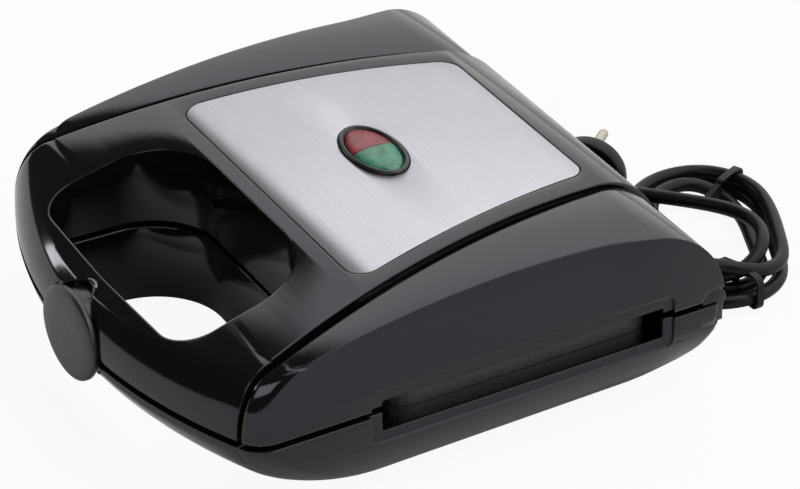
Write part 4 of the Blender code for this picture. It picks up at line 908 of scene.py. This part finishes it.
def make_lid_shell():
    shell = lid_hull("lid_wings", 0.0)
    deck = SPINE_RISE - SPINE_THICKNESS - GAP
    channel = prism_z("channel", spine_outline(True), LID_BOTTOM_Z - FAR, HIGH)
    cut(channel, under_crown("deck", deck, HANDLE_REAR_Y + GAP, LID_BOTTOM_Z - 0.020))
    cut(shell, channel)

    drafted = [
        [(x, y, z) for x, y in rounded_rectangle((-half, CAVITY_FRONT_Y), (half, REAR_Y), 0.004)]
        for half, z in (
            (HALF_WIDTH - LID_WALL, LID_BOTTOM_Z - 0.001),
            (HALF_WIDTH - LID_WALL - SIDE_DRAFT * 0.05, LID_BOTTOM_Z + 0.049),
        )
    ]
    cavity = loft("cavity", drafted)
    low_z = LID_BOTTOM_Z - FAR
    combine(cavity, under_crown("roof", deck - DECK_THICKNESS, CAVITY_FRONT_Y, low_z), "INTERSECT")
    cut(shell, cavity)
    wings = loft("wing_cavity", drafted)
    combine(wings, under_crown("roof", -LID_WALL, CAVITY_FRONT_Y, low_z), "INTERSECT")
    cut(wings, prism_z("middle", spine_outline(True, extra=LID_WALL), low_z, HIGH))
    cut(shell, wings)
    join_bosses(shell, lambda y: (UPPER_SEAT_Z, crown_height(y, -LID_WALL / 2)))
    cut(shell, *side_openings())
    cut(shell, *lid_reliefs())
    for sign in (-1, 1):
        start, end = sign * (KNUCKLE_START_X + GAP), sign * (KNUCKLE_END_X - GAP)
        low = (min(start, end) + GAP, HINGE_Y - BARREL_RADIUS + 2 * GAP, HINGE_Z)
        high = (max(start, end) - GAP, REAR_Y - 0.0010, HINGE_Z + BARREL_RADIUS + 0.004)
        knuckle = hinge_rod("knuckle", start, end, BARREL_RADIUS)
        join(knuckle, block("web", low, high))
        start, end = sign * (KNUCKLE_START_X - 0.002), sign * (KNUCKLE_END_X + 0.002)
        cut(knuckle, hinge_rod("bore", start, end, PIN_RADIUS + GAP))
        join(shell, knuckle)
    cut(shell, lamp_well(0.0240, 0.0137, 0.020))
    round_edges(shell, 0.0006, 3)
    return put(shell, "lid", GLOSS, "lid_shell", slot="gloss_black")


def cover_outline(extra):
    front, rear = HALF_WIDTH - 0.0355 + extra, HALF_WIDTH - 0.0610 + extra
    low, high, radius = -0.0337 - extra, 0.0925 + extra, 0.0090 + extra
    return filleted([
        (front, low, radius), (rear, high, radius), (-rear, high, radius), (-front, low, radius),
    ], 16)


def make_lid_spine():
    spine = lid_hull("lid_spine_moulding", SPINE_RISE)
    plan = prism_z("plan", spine_outline(), LID_BOTTOM_Z - FAR, HIGH)
    combine(spine, plan, "INTERSECT")
    underside = SPINE_RISE - SPINE_THICKNESS
    cut(spine, under_crown("underside", underside, HANDLE_REAR_Y, LID_BOTTOM_Z - 0.020))
    cut(spine, hand_hole(), latch_recess())
    cut(spine, *lid_reliefs())
    pocket = prism_z("seat", cover_outline(0.0006), CROWN_TOP_Z - FAR, HIGH)
    seat = SPINE_RISE - 0.0010 - GAP
    cut(pocket, under_crown("seat_floor", seat, FRONT_Y, CROWN_TOP_Z - 2 * FAR))
    cut(spine, pocket)
    cut(spine, lamp_well(0.0230, 0.0127))
    cut(spine, latch_pivot_rod("pin_bore", 0.0198, LATCH_PIN_RADIUS + GAP))
    round_edges(spine, 0.0008, 3)
    return put(spine, "lid", GLOSS, "lid_spine", slot="gloss_black")


def make_cover_plate():
    """Thin brushed plate that follows the crown, with the oval lamp opening."""
    plate = prism_z("brushed_cover", cover_outline(0.0), CROWN_TOP_Z - FAR, HIGH)
    low_z = CROWN_TOP_Z - 2 * FAR
    combine(plate, under_crown("top", SPINE_RISE, FRONT_Y, low_z), "INTERSECT")
    cut(plate, under_crown("underside", SPINE_RISE - 0.0010, FRONT_Y, low_z))
    cut(plate, lamp_well(0.0233, 0.0130))
    round_edges(plate, 0.0002)
    return put(plate, "lid", STEEL, "cover_plate", slot="brushed_steel")


lid_wings = make_lid_shell()
lid_spine = make_lid_spine()
cover = make_cover_plate()
print("lid", [len(piece.data.polygons) for piece in (lid_wings, lid_spine, cover)])

# %% [markdown]
# ## Signal lamp
# An oval bezel stands a little above the plate. Inside it sits one domed lens cap in two colours:
# the red half shows that the mains is on, and the green half that the plates are hot.

# %% Signal lamp


def make_bezel():
    surface = crown_height(LAMP_Y, SPINE_RISE)
    bottom = surface - SPINE_THICKNESS
    outer, inner, width = (0.0227, 0.0124), (0.0197, 0.0101), 0.0030
    steps = (
        (0.0, bottom), (0.0, surface + 0.0002), (0.0001, surface + 0.0006),
        (0.0004, surface + 0.0010), (0.0010, surface + 0.0012), (0.0019, surface + 0.0012),
        (0.0022, surface + 0.0010),
        (0.0024, surface + 0.0005), (0.0029, surface + 0.0003), (0.0030, surface - 0.0004),
        (0.0030, bottom),
    )
    rings = []
    for shrink, z in steps:
        halves = [big + (small - big) * shrink / width for big, small in zip(outer, inner)]
        rings.append([(x, y, z) for x, y in lamp_oval(*halves)])
    bezel = loft("lamp_surround", rings, band=True)
    return put(bezel, "lid", SATIN, "lamp_bezel", slot="satin_black", angle=40.0)


def make_lens(name, sign, material, node):
    surface = crown_height(LAMP_Y, SPINE_RISE)
    half_length, half_width, skirt, dome, steps = 0.0194, 0.0098, 0.0030, 0.0024, 16
    rings = [[(x, y, surface - skirt) for x, y in lamp_oval(half_length, half_width)]]
    for i in range(steps):
        angle = math.pi / 2 * i / steps
        share, z = math.cos(angle), surface + dome * math.sin(angle)
        rings.append([(x, y, z) for x, y in lamp_oval(half_length * share, half_width * share)])
    piece = loft(name, rings)
    low, high = sorted((sign * GAP / 2, sign * FAR))
    half = block("half", (low, LAMP_Y - FAR, CROWN_TOP_Z - FAR), (high, LAMP_Y + FAR, HIGH))
    combine(piece, half, "INTERSECT")
    return put(piece, "lid", material, node, slot=f"{node[5:]}_lens", angle=45.0)


bezel = make_bezel()
lenses = [
    make_lens("lens_cap_red", -1, RED, "lens_red"),
    make_lens("lens_cap_green", 1, GREEN, "lens_green"),
]
print("lamp", bezel.name, [piece.name for piece in lenses])

# %% [markdown]
# ## Lower half
# The lower shell is a tray that holds the lower plate and carries the hinge barrel. In front it
# becomes the lower half of the handle, in line with the spine above and a little behind the shell.

# %% Lower half


def base_hull(name):
    """Lower half: (height, side inset, front inset, rear inset, rear corner radius) from below."""
    levels = (
        (BASE_BOTTOM_Z, 0.0160, 0.0355, 0.0280, 0.034), (0.0054, 0.0145, 0.0341, 0.0245, 0.031),
        (0.0062, 0.0128, 0.0320, 0.0200, 0.028), (0.0075, 0.0105, 0.0296, 0.0155, 0.0245),
        (0.0090, 0.0088, 0.0274, 0.0120, 0.0215), (0.0110, 0.0070, 0.0246, 0.0090, 0.0185),
        (0.0130, 0.0056, 0.0220, 0.0065, 0.014), (0.0160, 0.0040, 0.0184, 0.0045, 0.010),
        (0.0190, 0.0027, 0.0151, 0.0028, 0.008), (0.0230, 0.0017, 0.0113, 0.0016, 0.007),
        (0.0270, 0.0009, 0.0079, 0.0008, 0.006), (0.0310, 0.0005, 0.0051, 0.0004, 0.0055),
        (0.0350, 0.0002, 0.0027, 0.0001, 0.0052), (0.0385, 0.00005, 0.0010, 0.0, 0.005),
        (BASE_TOP_Z, 0.0, 0.0, 0.0, 0.005),
    )
    rings = []
    for z, side, front, rear, radius in levels:
        low = min(max((UNDERSIDE_TOP_Z - z) / UNDERSIDE_HEIGHT, 0.0), 1.0)
        outline = plan_outline(
            side, front, rear, radius, bow_radius=FRONT_BOW_RADIUS - UNDERSIDE_BOW * low,
            corner_radius=FRONT_CORNER_RADIUS + front * CORNER_GROWTH,
        )
        ring = []
        for x, y in outline:
            # the underside narrows toward the rear
            back = max(0.0, (y - TAPER_START_Y) / (REAR_Y - TAPER_START_Y))
            ring.append((x * (1 - UNDERSIDE_TAPER * low * back**2), y, z))
        rings.append(ring)
    return loft(name, rings)


def handle_plan(name, extra, rear_y):
    outline = spine_outline(extra=extra, rear_y=rear_y, steps=40)
    return prism_z(name, outline, -FAR, SEAM_Z + FAR)


def lug_tool(name, sign, extra):
    radius = BARREL_RADIUS + extra
    root = 0.0110
    profile = arc((HINGE_Y, HINGE_Z), radius, 0.0, math.pi, 32)
    profile += [(HINGE_Y - radius, HINGE_Z - root - extra)]
    profile += [(REAR_Y + extra, HINGE_Z - root - extra), (REAR_Y + extra, HINGE_Z - radius / 2)]
    return prism_x(name, profile, sign * (LUG_START_X - extra), sign * (LUG_END_X + extra))


def make_base_shell():
    shell = base_hull("lower_tray")
    cut(shell, handle_plan("handle_room", GAP, HANDLE_REAR_Y + GAP))
    floor = BASE_BOTTOM_Z + BASE_FLOOR
    rings = []
    levels = (
        (floor, 0.0185, 0.0290), (floor + 0.0022, 0.0145, 0.0180), (0.0155, 0.0085, 0.0085),
        (0.0250, 0.0048, 0.0040), (SEAM_Z + 0.01, BASE_WALL, BASE_WALL),
    )
    for z, side, rear in levels:
        half = HALF_WIDTH - side
        outline = rounded_rectangle((-half, CAVITY_FRONT_Y), (half, REAR_Y - rear), 0.005)
        rings.append([(x, y, z) for x, y in outline])
    cut(shell, loft("cavity", rings))
    join_bosses(shell, lambda _: (floor - 0.001, LOWER_SEAT_Z))
    cut(shell, *side_openings())
    for sign in (-1, 1):
        start, end = sign * KNUCKLE_START_X, sign * KNUCKLE_END_X
        cut(shell, hinge_rod("knuckle_room", start, end, BARREL_RADIUS + HINGE_RELIEF))
        cut(shell, lug_tool("lug_room", sign, 2 * GAP))
    join(shell, hinge_rod("barrel", -BARREL_HALF_LENGTH, BARREL_HALF_LENGTH, BARREL_RADIUS))
    for sign in (-1, 1):
        start, end = sign * (PIN_START_X - GAP), sign * (BARREL_HALF_LENGTH + 0.002)
        cut(shell, hinge_rod("pin_bore", start, end, PIN_RADIUS + GAP))
    cut(shell, rod(
        "gland_room", (GLAND_X, REAR_Y - 0.015, GLAND_Z), (GLAND_X, REAR_Y + 0.01, GLAND_Z), 0.0063,
    ))
    round_edges(shell, 0.0005, 3)
    return put(shell, "base", GLOSS, "base_shell", slot="gloss_black")


def make_base_handle():
    handle = base_hull("lower_handle")
    combine(handle, handle_plan("plan", 0.0, HANDLE_REAR_Y), "INTERSECT")
    cut(handle, hand_hole(), latch_recess())
    catch = (-0.0105, -0.1178, 0.0279), (0.0105, RECESS_BACK_Y + 0.0010, 0.0324)
    join(handle, block("catch", *catch))
    round_edges(handle, 0.0006)
    return put(handle, "base", GLOSS, "base_handle", slot="gloss_black")


def make_hinge_lug(side, sign):
    lug = lug_tool(f"hinge_ear_{side}", sign, 0.0)
    start, end = sign * (LUG_START_X - 0.002), sign * (PIN_END_X + GAP)
    cut(lug, hinge_rod("bore", start, end, PIN_RADIUS + GAP))
    round_edges(lug, 0.0005)
    return put(lug, "base", GLOSS, f"hinge_lug_{side}", slot="gloss_black")


def make_foot(end, side, x, y):
    """Rubber foot with a rounded rim and a hollow for its screw."""
    top = BASE_BOTTOM_Z - GAP
    profile = [
        (0.0016, 0.0024), (0.0014, 0.0030), (0.0003, 0.0034), (0.0, 0.0042), (0.0, 0.0066),
        (0.0004, 0.0073), (0.0012, 0.0077), (top - 0.0004, 0.0084), (top, 0.0081),
    ]
    foot = lathe(f"rubber_foot_{end}_{side}", (x, y, 0.0), (0, 0, 1), profile, 48)
    return put(foot, "base", RUBBER, f"foot_{end}_{side}", slot="rubber", angle=50.0)


lower_tray = make_base_shell()
lower_handle = make_base_handle()
for side, sign in SIDES:
    make_hinge_lug(side, sign)
    for end, y in (("front", -0.062), ("rear", 0.088)):
        make_foot(end, side, sign * (HALF_WIDTH - 0.0360), y)
print("lower half", [len(piece.data.polygons) for piece in (lower_tray, lower_handle)])

# %% [markdown]
# ## Latch
# A shallow oval button lies in the front of the handle. It is turned like a disc and then widened
# to an oval. Behind it a round neck hangs on a steel pin, and the hook below springs under the
# catch of the lower handle.

# %% Latch


def make_latch():
    steps, height = 24, LATCH_HALF_HEIGHT
    turned = [(0.0, height - 0.0010), (0.0003, height - 0.0003), (0.0009, height)]
    for i in range(steps):
        angle = math.pi / 2 * i / steps
        along = LATCH_RIM + (LATCH_FRONT - LATCH_RIM) * math.sin(angle)
        turned.append((along, height * math.cos(angle) ** 0.5))
    axis = (0.0, -math.cos(LATCH_TILT), math.sin(LATCH_TILT))
    latch = lathe("latch_button", (0.0, LATCH_BACK_Y, LATCH_CENTRE_Z), axis, turned, 128)
    for vertex in latch.data.vertices:
        vertex.co.x *= LATCH_HALF_WIDTH / LATCH_HALF_HEIGHT
    join(
        latch,
        rod(
            "neck", (0.0, LATCH_BACK_Y - 0.0010, LATCH_Z), (0.0, LATCH_PIVOT_Y - 0.0010, LATCH_Z),
            LATCH_RADIUS - 0.0034, 96,
        ),
        latch_pivot_rod("hub", 0.0120, 0.0028),
        block("hook", (-0.0070, -0.1195, 0.0246), (0.0070, -0.1144, 0.0276)),
    )
    cut(latch, latch_pivot_rod("bore", 0.03, LATCH_PIN_RADIUS + GAP))
    return put(latch, "latch", SATIN, "latch", slot="satin_black", angle=40.0)


latch = make_latch()
print("latch", len(latch.data.polygons), "faces")

# %% [markdown]
# ## Nodes that keep their shape
# The plates, heating parts, pins and lamp parts are right as they are, so they only get their
# finish.

# %% Nodes that keep their shape
FINISH_BY_WORD = (
    ("cover_plate", STEEL), ("plate", CAST), ("plug_pin", BRASS), ("_pin", BRIGHT),
    ("element", BRIGHT), ("reflector", BRIGHT), ("thermostat", CERAMIC), ("lamp_holder", CERAMIC),
    ("neon", NEON), ("lamp_bezel", SATIN), ("latch", SATIN), ("lens_red", RED),
    ("lens_green", GREEN), ("lid_", GLOSS), ("base_", GLOSS), ("hinge_lug", GLOSS), ("", RUBBER),
)


def finish_of(name):
    """The finish of the first word that the node's name holds."""
    return next(material for word, material in FINISH_BY_WORD if word in name)


for name, node in nodes.items():
    node.data.materials.clear()
    node.data.materials.append(finish_of(name))
print("finished", len(nodes), "nodes")

# %% [markdown]
# ## Floor, world and lights
# The photograph has a white ground and soft light from above and behind, which draws broad grey
# reflections on the lid and leaves the front black. So the world is bright behind the toaster and
# almost dark in front. The floor shows almost white to the camera and keeps a faint shadow.

# %% Floor, world and lights
WHITE = (1.0, 1.0, 1.0, 1.0)
FLOOR_GLOW = 0.93


def make_floor():
    bpy.ops.mesh.primitive_plane_add(size=8.0, location=(0.0, 0.0, 0.0))
    floor = bpy.context.object
    floor.name = "floor"
    material = bpy.data.materials.new("white_ground")
    material.use_nodes = True
    tree = material.node_tree
    tree.nodes.clear()
    path = add_node(tree, "ShaderNodeLightPath")
    glow_share = add_node(tree, "ShaderNodeMath", {
        0: path.outputs["Is Camera Ray"], 1: FLOOR_GLOW,
    }, operation="MULTIPLY")
    matt = add_node(tree, "ShaderNodeBsdfDiffuse", {"Color": colour("e6e6e6")})
    glow = add_node(tree, "ShaderNodeEmission", {"Color": WHITE})
    mix = add_node(tree, "ShaderNodeMixShader", {
        0: glow_share.outputs[0], 1: matt.outputs[0], 2: glow.outputs[0],
    })
    add_node(tree, "ShaderNodeOutputMaterial", {"Surface": mix.outputs[0]})
    floor.data.materials.append(material)


def make_world():
    world = bpy.data.worlds.new("studio")
    bpy.context.scene.world = world
    world.use_nodes = True
    tree = world.node_tree
    way = add_node(tree, "ShaderNodeTexCoord")
    parts = add_node(tree, "ShaderNodeSeparateXYZ", {0: way.outputs["Generated"]})
    fade = add_node(tree, "ShaderNodeMapRange", {
        "Value": parts.outputs["Y"], "From Min": 0.08, "From Max": 0.16, "To Min": 0.05,
        "To Max": 1.2,
    }, interpolation_type="SMOOTHSTEP")
    lift = add_node(tree, "ShaderNodeMapRange", {
        "Value": parts.outputs["Z"], "From Min": 0.40, "From Max": 0.66, "To Min": 1.0,
        "To Max": 1.35,
    })
    strength = add_node(tree, "ShaderNodeMath", {
        0: fade.outputs["Result"], 1: lift.outputs["Result"],
    }, operation="MULTIPLY")
    ground = tree.nodes["Background"]
    ground.inputs["Color"].default_value = WHITE
    tree.links.new(strength.outputs[0], ground.inputs["Strength"])


def make_light(name, place, aim, width, height, power):
    bpy.ops.object.light_add(type="AREA", location=place)
    light = bpy.context.object
    light.name = name
    light.data.shape = "RECTANGLE"
    light.data.size = width
    light.data.size_y = height
    light.data.energy = power
    light.rotation_euler = (Vector(aim) - Vector(place)).to_track_quat("-Z", "Y").to_euler()


make_floor()
make_world()
make_light("top_softbox", (0.5, 0.4, 2.0), (0.0, 0.0, 0.05), 1.6, 1.2, 9.0)
make_light("front_softbox", (1.2, -1.5, 1.2), (0.3, -0.3, 0.0), 1.6, 0.9, 10.0)
make_light("left_strip", (-1.5, -0.9, 0.6), (0.0, 0.0, 0.05), 0.15, 1.0, 3.0)
bpy.context.scene.view_settings.view_transform = "Standard"
